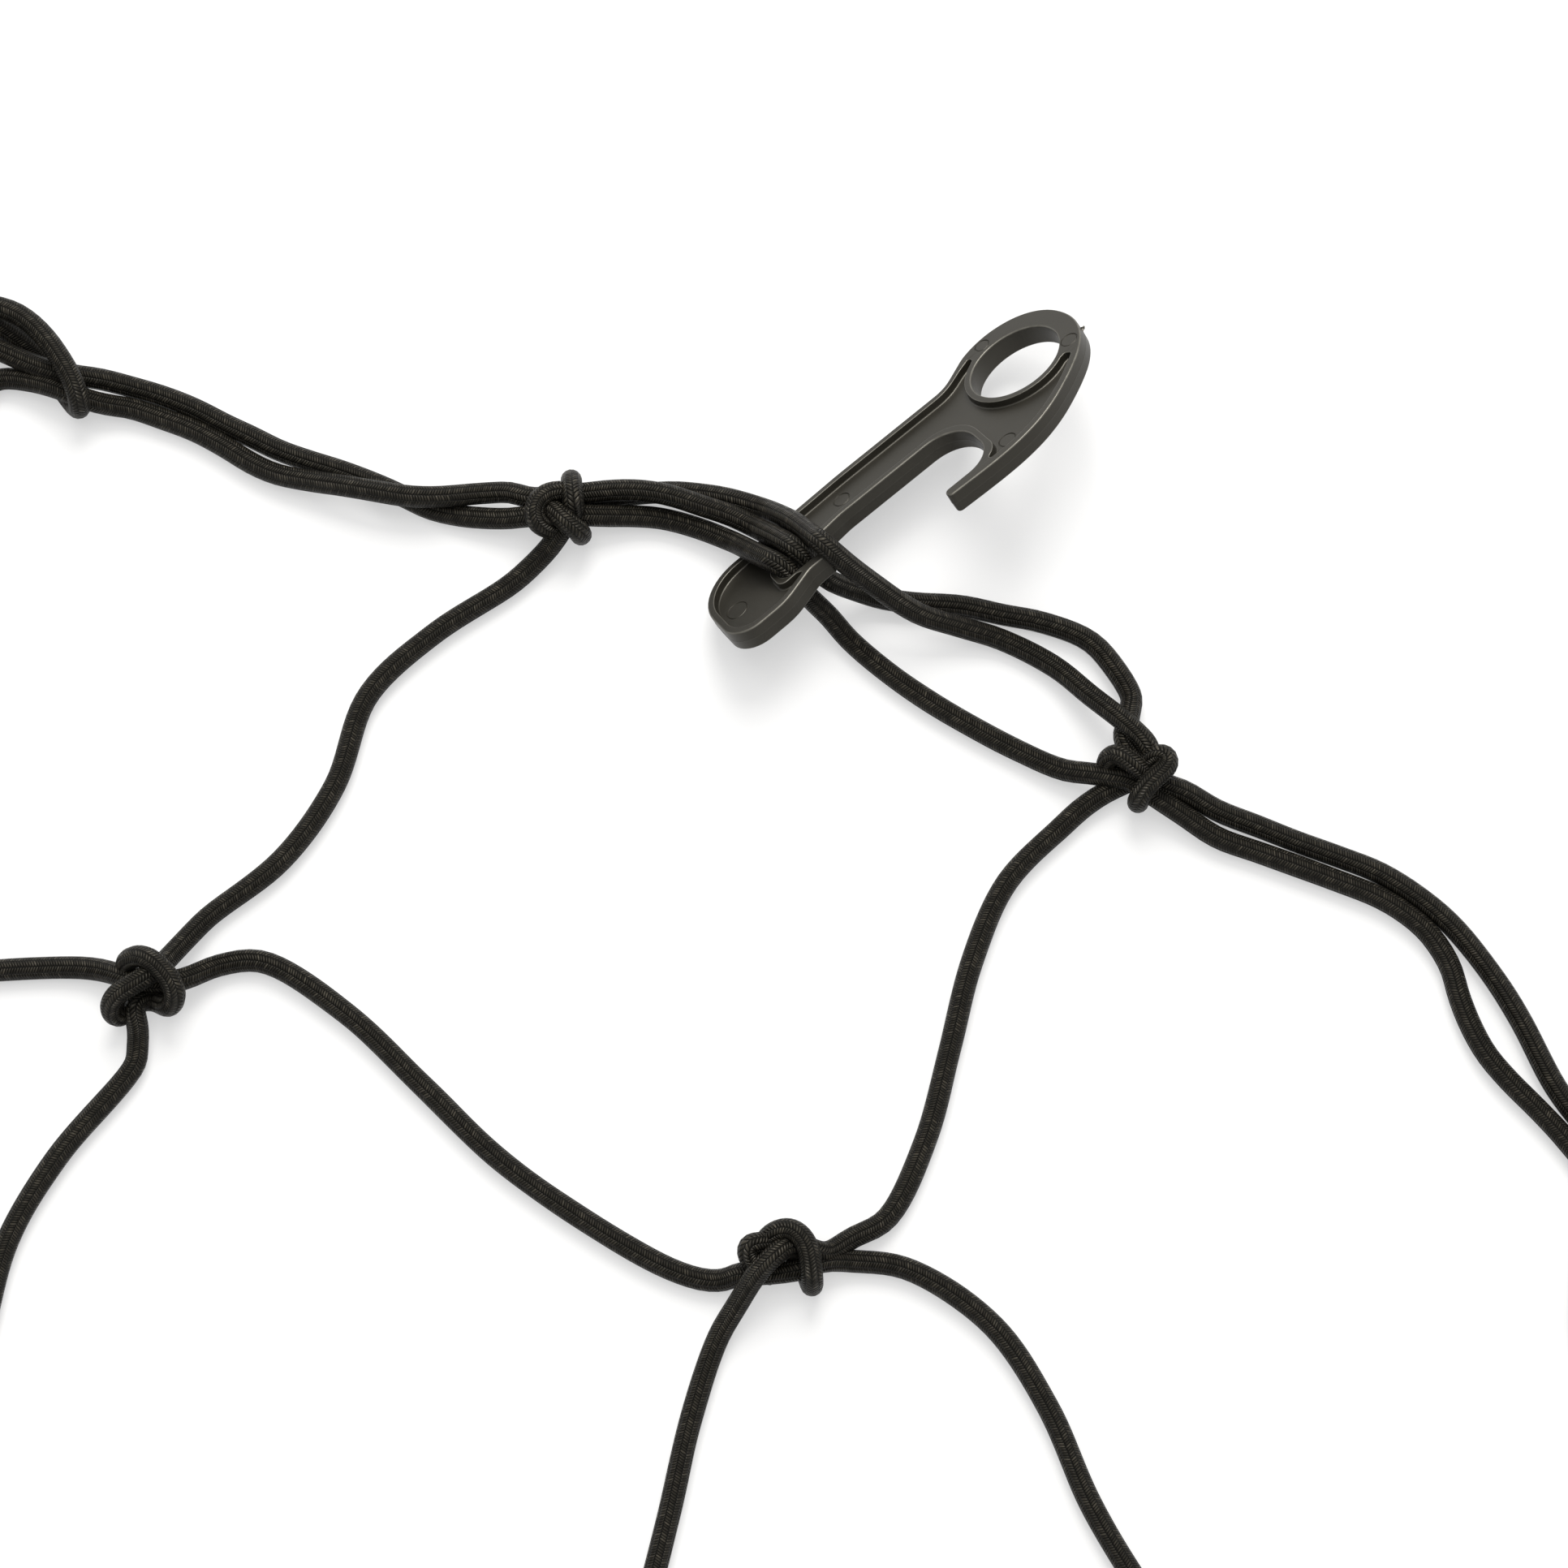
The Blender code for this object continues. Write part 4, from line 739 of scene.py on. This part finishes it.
def braid_material():
    """Braided polyester sleeve: columns of stitches that slant by turns to the left and to the right."""
    n = Nodes("shock_cord_braid")
    place = n.add("ShaderNodeTexCoord")
    parts = n.add("ShaderNodeSeparateXYZ")
    n.link(place.outputs["UV"], parts.inputs[0])
    u, v = parts.outputs[0], parts.outputs[1]
    # the sleeve is never quite even
    drift = n.add("ShaderNodeTexNoise", noise_dimensions="3D")
    drift.inputs["Scale"].default_value = 90.0
    drift.inputs["Detail"].default_value = 1.0
    n.link(place.outputs["Object"], drift.inputs["Vector"])
    wander = n.math("MULTIPLY_ADD", drift.outputs[0], 0.5, -0.25)
    across = n.math("MULTIPLY", u, 10.0)
    column = n.math("FLOOR", across)
    inside = n.math("FRACT", across)
    parity = n.math("MODULO", column, 2.0)
    sense = n.math("MULTIPLY_ADD", parity, 2.0, -1.0)
    lean = n.math("MULTIPLY", n.math("SUBTRACT", inside, 0.5), 0.95)
    along = n.math("ADD", n.math("MULTIPLY", v, 1.0 / 0.0006), n.math("MULTIPLY", lean, sense))
    along = n.math("ADD", along, n.math("ADD", wander, n.math("MULTIPLY", parity, 0.5)))
    stitch = n.math("FLOOR", along)
    phase = n.math("FRACT", along)
    ridge = n.math("POWER", n.math("SINE", n.math("MULTIPLY", phase, math.pi)), 0.7)
    edge = n.math("POWER", n.math("SINE", n.math("MULTIPLY", inside, math.pi)), 0.45)
    height = n.math("MULTIPLY", ridge, edge)
    # yarn filaments run along each stitch
    thread = n.math("SINE", n.math("MULTIPLY", phase, math.tau * 3.0))
    height = n.math("ADD", height, n.math("MULTIPLY", thread, 0.05))
    key = n.add("ShaderNodeCombineXYZ")
    n.link(column, key.inputs[0])
    n.link(stitch, key.inputs[1])
    random = n.add("ShaderNodeTexWhiteNoise", noise_dimensions="3D")
    n.link(key.outputs[0], random.inputs["Vector"])
    chance = random.outputs["Value"]
    patch = n.add("ShaderNodeTexNoise", noise_dimensions="3D")
    patch.inputs["Scale"].default_value = 260.0
    patch.inputs["Detail"].default_value = 3.0
    n.link(place.outputs["Object"], patch.inputs["Vector"])
    # colour: warm black, with lighter, greyer yarns at random that are partly painted glints, and painted shade, almost
    # black, in the gaps between the stitches
    lighter_yarn_and_glint = n.curve(chance, ((0.0, 0.12), (0.5, 0.34), (0.84, 0.6), (1.0, 1.0)))
    yarn = n.mix(lighter_yarn_and_glint, (0.0020, 0.0018, 0.0014), (0.034, 0.0302, 0.0232))
    wear_and_highlight = n.math("MULTIPLY", n.curve(patch.outputs[0], ((0.38, 0.0), (0.66, 1.0))), 0.45)
    yarn = n.mix(wear_and_highlight, yarn, (0.0075, 0.0069, 0.0054))
    # painted shade: where the stitch height is low, between the stitches, the colour goes almost black
    colour = n.mix(n.curve(height, ((0.3, 0.0), (0.9, 1.0))), (0.0008, 0.0008, 0.0007), yarn)
    n.link(colour, n.shader.inputs["Base Color"])
    rough = n.math("MULTIPLY_ADD", chance, -0.12, 0.44)
    n.link(rough, n.shader.inputs["Roughness"])
    n.shader.inputs["Specular IOR Level"].default_value = 0.13
    n.shader.inputs["Specular Tint"].default_value = (1.0, 0.95, 0.85, 1.0)
    n.shader.inputs["Sheen Weight"].default_value = 0.0
    n.shader.inputs["Sheen Roughness"].default_value = 0.45
    n.shader.inputs["Sheen Tint"].default_value = (1.0, 0.95, 0.84, 1.0)
    bump = n.add("ShaderNodeBump")
    bump.inputs["Strength"].default_value = 1.0
    bump.inputs["Distance"].default_value = 0.0004
    n.link(height, bump.inputs["Height"])
    n.link(bump.outputs[0], n.shader.inputs["Normal"])
    return n.material


def plastic_material():
    """Satin injection moulded plastic with a fine spark-eroded grain, and its rounded edges painted lighter: a painted
    highlight, partly burnished wear.
    """
    n = Nodes("hook_moulded_plastic")
    place = n.add("ShaderNodeTexCoord")
    grain = n.add("ShaderNodeTexNoise", noise_dimensions="3D")
    grain.inputs["Scale"].default_value = 5200.0
    grain.inputs["Detail"].default_value = 2.0
    n.link(place.outputs["Object"], grain.inputs["Vector"])
    cloud = n.add("ShaderNodeTexNoise", noise_dimensions="3D")
    cloud.inputs["Scale"].default_value = 95.0
    cloud.inputs["Detail"].default_value = 4.0
    n.link(place.outputs["Object"], cloud.inputs["Vector"])
    scuff = n.add("ShaderNodeTexNoise", noise_dimensions="3D")
    scuff.inputs["Scale"].default_value = 420.0
    scuff.inputs["Detail"].default_value = 5.0
    n.link(place.outputs["Object"], scuff.inputs["Vector"])
    wear_and_highlight = n.add("ShaderNodeAttribute", attribute_name="edge")
    clouded = n.curve(cloud.outputs[0], ((0.3, 0.0), (0.7, 1.0)))
    base = n.mix(clouded, (0.0038, 0.0034, 0.0022), (0.0060, 0.0054, 0.0038))
    # painted highlight: the rounded edges, by their edge level, are painted lighter and made a little glossier, partly
    # as burnished wear; the scuff noise breaks the line up
    edge_highlight_and_rub = n.math("MULTIPLY", wear_and_highlight.outputs["Fac"], n.curve(scuff.outputs[0], ((0.3, 0.55), (0.65, 1.0))))
    base = n.mix(n.math("MULTIPLY", edge_highlight_and_rub, 0.6), base, (0.085, 0.082, 0.072))
    n.link(base, n.shader.inputs["Base Color"])
    rough = n.math("ADD", n.math("MULTIPLY_ADD", clouded, 0.05, 0.40), n.math("MULTIPLY", edge_highlight_and_rub, -0.08))
    n.link(rough, n.shader.inputs["Roughness"])
    n.shader.inputs["Specular IOR Level"].default_value = 0.46
    n.shader.inputs["Specular Tint"].default_value = (1.0, 0.95, 0.84, 1.0)
    fine = n.add("ShaderNodeBump")
    fine.inputs["Strength"].default_value = 0.22
    fine.inputs["Distance"].default_value = 0.00006
    n.link(grain.outputs[0], fine.inputs["Height"])
    n.link(fine.outputs[0], n.shader.inputs["Normal"])
    return n.material


BRAID = braid_material()
PLASTIC = plastic_material()

# ---------------------------------------------------------------------------------------------------------------------
# The cords
# ---------------------------------------------------------------------------------------------------------------------
lengths = {}


def keep_cord(name, paths, nodes):
    obj, length = cord_mesh(name, [even(path) for path in paths])
    obj.data.materials.append(BRAID)
    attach(obj, "root")
    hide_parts(*nodes)
    lengths[name] = length
    return obj


def mesh_line(kind, index):
    if kind == "column":
        return [knot(index, j) for j in range(ROWS + 1)]
    return [knot(i, index) for i in range(COLUMNS + 1)]


def section_sways(kind, index, section, start, end):
    key = (kind, index, section) if kind == "column" else (kind, section, index)
    if key in MESH_SWAYS:
        return np.array(MESH_SWAYS[key])
    length, _, _ = frame_of(start, end)
    seed = 0.4 + 7.3 * index + 3.1 * section + (0.0 if kind == "column" else 40.0)
    return common_sways(length, seed, CELL_CORD)


def line_end(kind, index, at_start):
    """Side and number of the border knot that a mesh line starts or ends at."""
    side = {("column", True): "top", ("column", False): "bottom", ("row", True): "left", ("row", False): "right"}[kind, at_start]
    count = len(border_knots(side)) - 1
    return side, (index if side in ("top", "right") else count - index)


def mesh_knot(i, j):
    """Kind, turn and whether the photographed rows are used whole for the knot of column i and row j."""
    kind = "round" if (i + j) % 2 == 0 else "flat"
    way = 0.5 * (heading(knot(i - 1, j), knot(i, j)) + heading(knot(i, j), knot(i + 1, j)))
    return kind, way - REFERENCE[kind], (i, j) in ((5, 1), (6, 1))


def mesh_cord(kind, index):
    ends = mesh_line(kind, index)
    count = len(ends) - 1
    parts = []
    extra = []
    for k, place in enumerate(ends):
        if k in (0, count):
            side, number = line_end(kind, index, k == 0)
            style, where, turn = border_knot(side, number)
            table = KNOTS[style]
            whole = (side, number) in (("top", 5), ("top", 6))
            rows = turned(table["cord"] if whole else table["cord"][2:], where, turn)
            parts.append(("knot", rows[::-1] if k == 0 else rows))
            for part in ("hitch", "bight", "left", "right"):
                if part in table:
                    extra.append(smooth([(*row[:3], 0.97) for row in turned(table[part], where, turn)]))
            if (side, number) == ("top", 4):
                extra.append(smooth([(*row, 1.0) for row in CROSSING_ROWS["bight"]]))
        else:
            i, j = (index, k) if kind == "column" else (k, index)
            style, turn, whole = mesh_knot(i, j)
            table = KNOTS[style]
            rows = table[kind]
            if whole:
                rows = turned(rows, place, 0.0)
            else:
                low, high = table[kind + "_core"]
                rows = turned(rows[low:high], place, turn, table["middle"])
            if kind == "column":
                rows = [(*row[:3], 0.97) for row in rows]
            parts.append(("knot", rows))
        if k < count:
            sways = section_sways(kind, index, k, place, ends[k + 1])
            parts.append(("plain", chord_points(place, ends[k + 1], sways, (LOW,) * 6)))
    return [smooth(joined(*parts))] + extra


for index in range(1, ROWS):
    keep_cord(f"cord_row_{index}", mesh_cord("row", index), [f"row_{index}_{part}" for part in (1, 2, 3)])
for index in range(1, COLUMNS):
    nodes = [f"column_{index}"] if index != 3 else [f"column_3_{part}" for part in (1, 2, 3)]
    keep_cord(f"cord_column_{index}", mesh_cord("column", index), nodes)

strands, starts = border_loops()
loop_rows = strands["A"] + strands["B"]
STEPS = 10
loop = smooth(loop_rows, STEPS, closed=True)
offset = {"A": 0, "B": len(strands["A"])}
cuts = sorted((offset[name] + start[name], number, start["order"].index(name))
              for number, start in enumerate(starts) for name in ("A", "B"))
for place, (first, number, rank) in enumerate(cuts):
    last = cuts[(place + 1) % len(cuts)][0]
    if last <= first:
        last += len(loop_rows)
    picked = loop[np.arange(first * STEPS, last * STEPS + 8) % len(loop)].copy()
    run = np.linalg.norm(np.diff(picked[:, :3], axis=0), axis=1)
    from_end = np.concatenate((np.cumsum(run[::-1])[::-1], (0.0,)))
    picked[:, 3] *= np.where(from_end < 3.0, 0.965, 1.0)
    side = SIDES[number]
    keep_cord(f"cord_border_{side}_{rank + 1}", [picked], [f"border_{side}_{rank + 1}"])

for side in SIDES:
    ends = border_knots(side)
    for section in TURNS[side]:
        last = section == len(ends) - 2
        if section in HOOKS[side]:
            rows = hooked_points(side, section, "turn")
        else:
            start, end = ends[section], ends[section + 1]
            outer = chord_points(start, end, common_sways(frame_of(start, end)[0], 10 * SIDES.index(side) + section + 3, CELL_CORD), (LOW,) * 6)
            length, along, left = frame_of(start, end)
            sways = np.array([(np.array(row[:2]) - start) @ left for row in outer])
            off = (3 * CORD_RADIUS + 1.9 + 3.0 * np.sin(math.pi * np.arange(1, 7) / 7.0)) * slant(sways, length)
            rows = [(*(start + along * 2.0 + left * 1.0), 4.0, 1.0), (*(start + along * 9.0 + left * 6.5), 3.0, 1.0)]
            rows += chord_points(start, end, sways + off, (LOW,) * 6)
            rows += [(*(end + along * s + left * out), z, 1.0) for s, out, z in ((-10.0, 8.0, 7.0), (-4.0, 6.0, 9.0), (1.5, 3.0, 8.0))]
        paths = [smooth(rows)]
        if last:
            _, where, turn = border_knot(side, section + 1)
            for part in ("left", "right"):
                paths.append(smooth([(*row[:3], 0.97) for row in turned(KNOTS["last"][part], where, turn)]))
        keep_cord(f"cord_turn_{side}_{section}", paths, [f"turn_{side}_{section}"])

# ---------------------------------------------------------------------------------------------------------------------
# The hooks
# ---------------------------------------------------------------------------------------------------------------------
HOOK_OUTLINE = (
    (-13.15, -13.4, 12.9), (-13.15, 12.7, 13.0), (1.5, 12.3, 13.0), (10.4, 8.0, 5.0), (15.6, 7.9, 1.2), (15.6, 5.25, 1.2),
    (4.2, 5.25, 2.85), (4.2, -0.55, 2.85), (17.0, -0.55, 12.0), (24.0, -1.7, 14.0), (57.4, -1.7, 9.0), (57.4, 18.0, 9.0),
    (43.4, 18.0, 1.2), (43.4, 20.7, 1.2),
    ("curve", ((50.4, 21.05), (56.8, 21.2), (63.2, 20.8), (69.4, 19.45), (75.2, 16.95), (80.4, 13.6), (85.0, 10.0),
               (88.5, 6.5), (91.1, 2.6), (92.6, -1.4), (93.1, -5.6), (92.5, -10.1), (91.0, -14.1), (88.5, -17.5),
               (85.1, -20.1), (81.3, -21.6), (77.2, -22.2), (73.0, -21.8), (69.3, -20.6), (66.4, -18.8))),
    (61.2, -15.4, 9.0), (30.0, -15.4, 60.0),
)
HOOK_POCKET_OUTLINE = (
    (-11.4, -11.8, 11.2), (-11.4, 10.9, 11.2), (1.0, 10.5, 11.0), (9.2, 6.9, 0.5), (7.4, 6.0, 0.8), (2.8, 6.4, 3.0),
    (2.8, -1.9, 3.0), (17.0, -2.2, 12.0), (24.0, -3.3, 14.0), (59.1, -3.3, 9.6), (59.1, 16.0, 7.0), (54.9, 18.9, 0.6),
    (62.0, 19.2, 40.0), (71.0, 17.2, 40.0), (79.2, 12.3, 30.0), (84.4, 8.0, 8.0), (86.4, 6.0, 0.6), (85.4, 4.6, 0.55),
    ("arc", 55.0, 236.0), (70.6, -17.4, 0.5), (70.3, -18.8, 0.5), (66.6, -17.0, 8.0), (61.0, -13.7, 13.0),
    (30.0, -13.7, 60.0),
)
WEB_MARKS = ((26.9, -8.9, 2.05), (-7.6, -0.2, 2.6), (62.1, 14.8, 2.1))
HEAD_MARKS = ((88.3, 1.6, 2.05), (74.7, -19.5, 1.8))


def rounded(rows, step=7.0):
    """Outline points of a polygon whose corners are rounded, with a point every few degrees of turn."""
    corners = []
    for row in rows:
        if row[0] == "arc":
            _, start, end = row
            count = max(2, int(abs(end - start) / step))
            for k in range(count + 1):
                angle = math.radians(start + (end - start) * k / count)
                corners.append((HOOK_EYE["a"] + HOOK_EYE["rim"] * math.cos(angle),
                                HOOK_EYE["b"] + HOOK_EYE["rim"] * math.sin(angle), 0.0))
        elif row[0] == "curve":
            through = smooth([(a, b, 0.0) for a, b in row[1]], 4)
            corners += [(float(a), float(b), 0.0) for a, b, _ in through]
        else:
            corners.append(row)
    points = []
    for k, (a, b, radius) in enumerate(corners):
        here = Vector((a, b))
        before = Vector(corners[k - 1][:2]) - here
        after = Vector(corners[(k + 1) % len(corners)][:2]) - here
        if radius <= 0.0:
            points.append(here)
            continue
        turn = math.pi - before.angle(after)
        reach = min(radius * math.tan(turn / 2), 0.499 * before.length if corners[k - 1][2] else before.length * 0.9,
                    0.499 * after.length if corners[(k + 1) % len(corners)][2] else after.length * 0.9)
        radius = reach / math.tan(turn / 2)
        start = here + before.normalized() * reach
        middle = here + (before.normalized() + after.normalized()).normalized() * (radius / math.cos(turn / 2))
        each = step if radius > 3.0 else 2.0 * step
        count = max(2, int(round(math.degrees(turn) / each)))
        from_middle = start - middle
        sense = 1.0 if (-before).cross(after) > 0 else -1.0
        for n in range(count + 1):
            angle = sense * turn * n / count
            c, s = math.cos(angle), math.sin(angle)
            points.append(middle + Vector((from_middle.x * c - from_middle.y * s, from_middle.x * s + from_middle.y * c)))
    out = []
    for point in points:
        if not out or (point - out[-1]).length > 0.05:
            out.append(point)
    if (out[0] - out[-1]).length <= 0.05:
        out.pop()
    made = np.array([tuple(q) for q in out])
    area = 0.5 * float(np.sum(made[:, 0] * np.roll(made[:, 1], -1) - np.roll(made[:, 0], -1) * made[:, 1]))
    return made if area > 0 else made[::-1].copy()


def offset_loop(loop_points, distance):
    """A counter-clockwise loop moved outward."""
    before = loop_points - np.roll(loop_points, 1, axis=0)
    after = np.roll(loop_points, -1, axis=0) - loop_points
    before /= np.linalg.norm(before, axis=1)[:, None]
    after /= np.linalg.norm(after, axis=1)[:, None]
    n1 = np.column_stack((before[:, 1], -before[:, 0]))
    n2 = np.column_stack((after[:, 1], -after[:, 0]))
    both = n1 + n2
    both /= np.linalg.norm(both, axis=1)[:, None]
    cosine = np.clip(np.sum(both * n1, axis=1), 0.6, 1.0)
    return loop_points + both * (distance / cosine)[:, None]


def hook_mesh():
    points, edge_levels, faces = [], [], []

    def ring(loop_points, z, level=0.0):
        start = len(points)
        points.extend((a, b, z) for a, b in loop_points)
        edge_levels.extend([level] * len(loop_points))
        return list(range(start, start + len(loop_points)))

    def bridge(first, second):
        count = len(first)
        for k in range(count):
            faces.append((first[k], first[(k + 1) % count], second[(k + 1) % count], second[k]))

    def flat(rings):
        loops = [[Vector(points[k]) for k in one] for one in rings]
        order = [k for one in rings for k in one]
        for triangle in tessellate_polygon(loops):
            faces.append(tuple(order[k] for k in triangle))

    def stack(loop_points, rows):
        rings = [ring(offset_loop(loop_points, out) if abs(out) > 1e-9 else loop_points, z, level) for out, z, level in rows]
        for first, second in zip(rings, rings[1:]):
            bridge(first, second)
        return rings[0], rings[-1]

    def quarter(radius, steps, start_out, start_z, outward, down):
        """Rows of an edge rounding from a flat face over to a wall."""
        rows = []
        for k in range(steps + 1):
            t = 0.5 * math.pi * k / steps
            rows.append((start_out + outward * radius * math.sin(t), start_z + down * radius * (1.0 - math.cos(t)), math.sin(2 * t)))
        return rows

    outline = rounded(HOOK_OUTLINE)
    pocket = rounded(HOOK_POCKET_OUTLINE)
    around = np.linspace(0.0, math.tau, 73)[:-1]
    eye = np.column_stack((HOOK_EYE["a"] + HOOK_EYE["radius"] * np.cos(around), HOOK_EYE["b"] + HOOK_EYE["radius"] * np.sin(around)))
    thick, half = HOOK_THICKNESS, 0.5 * HOOK_THICKNESS
    soft, lip, sink = 0.42, 0.22, 0.4

    rows = quarter(soft, 5, -soft, 0.0, 1.0, -1.0)
    rows += [(0.05, -half + 0.16, 0.0), (0.10, -half + 0.05, 0.12), (0.10, -half - 0.05, 0.12), (0.05, -half - 0.16, 0.0)]
    rows += [(out, -thick - z, level) for out, z, level in reversed(quarter(soft, 5, -soft, 0.0, 1.0, -1.0))]
    outer_top, outer_bottom = stack(outline, rows)

    rows = quarter(soft, 5, soft, 0.0, -1.0, -1.0)
    rows += [(-0.04, -half, 0.0)]
    rows += [(out, -thick - z, level) for out, z, level in reversed(quarter(soft, 5, soft, 0.0, -1.0, -1.0))]
    eye_top, eye_bottom = stack(eye, rows)

    for face_z, down, outer_ring, eye_ring in ((0.0, -1.0, outer_top, eye_top), (-thick, 1.0, outer_bottom, eye_bottom)):
        rows = quarter(lip, 3, lip, face_z, -1.0, down)
        rows += [(-0.07, face_z + down * (HOOK_POCKET - sink), 0.0)]
        for k in range(1, 5):
            t = 0.5 * math.pi * k / 4
            rows.append((-0.07 - sink * (1.0 - math.cos(t)), face_z + down * (HOOK_POCKET - sink + sink * math.sin(t)), 0.0))
        pocket_top, pocket_floor = stack(pocket, rows)
        holes = [outer_ring, pocket_top, eye_ring]
        marks = WEB_MARKS if down < 0 else WEB_MARKS[:2]
        floor_z = face_z + down * HOOK_POCKET
        web = [pocket_floor]
        circle = np.linspace(0.0, math.tau, 29)[:-1]
        for group, level_z, out in ((marks, floor_z, web), (HEAD_MARKS if down < 0 else (), face_z, holes)):
            for a, b, radius in group:
                place = np.column_stack((a + radius * np.cos(circle), b + radius * np.sin(circle)))
                lip_ring = ring(offset_loop(place, 0.13), level_z, 0.0)
                low_ring = ring(offset_loop(place, 0.02), level_z + down * 0.2, 0.0)
                bridge(lip_ring, low_ring)
                step_ring = ring(offset_loop(place, -0.1), level_z + down * 0.2, 0.0)
                bridge(low_ring, step_ring)
                middle_ring = ring(offset_loop(place, -0.22), level_z + down * 0.05, 0.0)
                bridge(step_ring, middle_ring)
                flat([middle_ring])
                out.append(lip_ring)
        flat(web)
        flat(holes)

    # stub of the gate that the plastic came in through, broken off
    stub_at, count = (92.75, -1.7), 9
    rings = []
    for reach, radius, lift in ((-0.6, 0.62, 0.6), (0.1, 0.55, 0.6), (0.4, 0.34, 0.7), (0.75, 0.16, 0.95)):
        start = len(points)
        for k in range(count):
            t = math.tau * k / count
            jag = 1.0 + 0.42 * math.sin(5.0 * k + 9.0 * reach)
            points.append((stub_at[0] + reach + 0.12 * math.sin(3.0 * k), stub_at[1] + radius * jag * math.cos(t) + 0.3 * lift,
                           -half + radius * jag * math.sin(t) + lift))
            edge_levels.append(0.0)
        rings.append(list(range(start, start + count)))
    for first, second in zip(rings, rings[1:]):
        bridge(first, second)
    faces.append(tuple(reversed(rings[0])))
    faces.append(tuple(rings[-1]))

    mesh = bpy.data.meshes.new("hook_shape")
    mesh.from_pydata([(a * MM, -b * MM, z * MM) for a, b, z in points], [], faces)
    # edge level: how far round a rounded edge a point lies; the plastic material paints its edge highlight by it
    attribute = mesh.attributes.new("edge", "FLOAT", "POINT")
    attribute.data.foreach_set("value", np.array(edge_levels, np.float32))
    work = bmesh.new()
    work.from_mesh(mesh)
    bmesh.ops.recalc_face_normals(work, faces=work.faces)
    open_edges = sum(1 for e in work.edges if len(e.link_faces) != 2)
    work.to_mesh(mesh)
    work.free()
    print(f"hook: {len(mesh.polygons)} faces, {open_edges} open edges")
    mesh.shade_smooth()
    mesh.set_sharp_from_angle(angle=math.radians(38.0))
    mesh.materials.append(PLASTIC)
    return mesh


shape = hook_mesh()
count = 0
for side in SIDES:
    for section in HOOKS[side]:
        count += 1
        origin, axis, across, normal = hook_frame(side, section)
        hook = bpy.data.objects.new(f"moulded_hook_{count}", shape)
        hook.rotation_mode = "QUATERNION"
        hook.rotation_quaternion = Matrix((axis, -across, normal)).transposed().to_quaternion()
        hook.location = (origin + Vector((-CENTRE_X, -CENTRE_Y, 0.0))) * MM
        scene.collection.objects.link(hook)
        weighted = hook.modifiers.new("weighted_normals", "WEIGHTED_NORMAL")
        weighted.mode = "FACE_AREA"
        weighted.weight = 60
        weighted.keep_sharp = True
        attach(hook, "root")
        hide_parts(f"hook_{count}")

# ---------------------------------------------------------------------------------------------------------------------
# Sizes
# ---------------------------------------------------------------------------------------------------------------------
bpy.context.view_layer.update()
print("cord, metres:", round(sum(lengths.values()) * MM, 2))
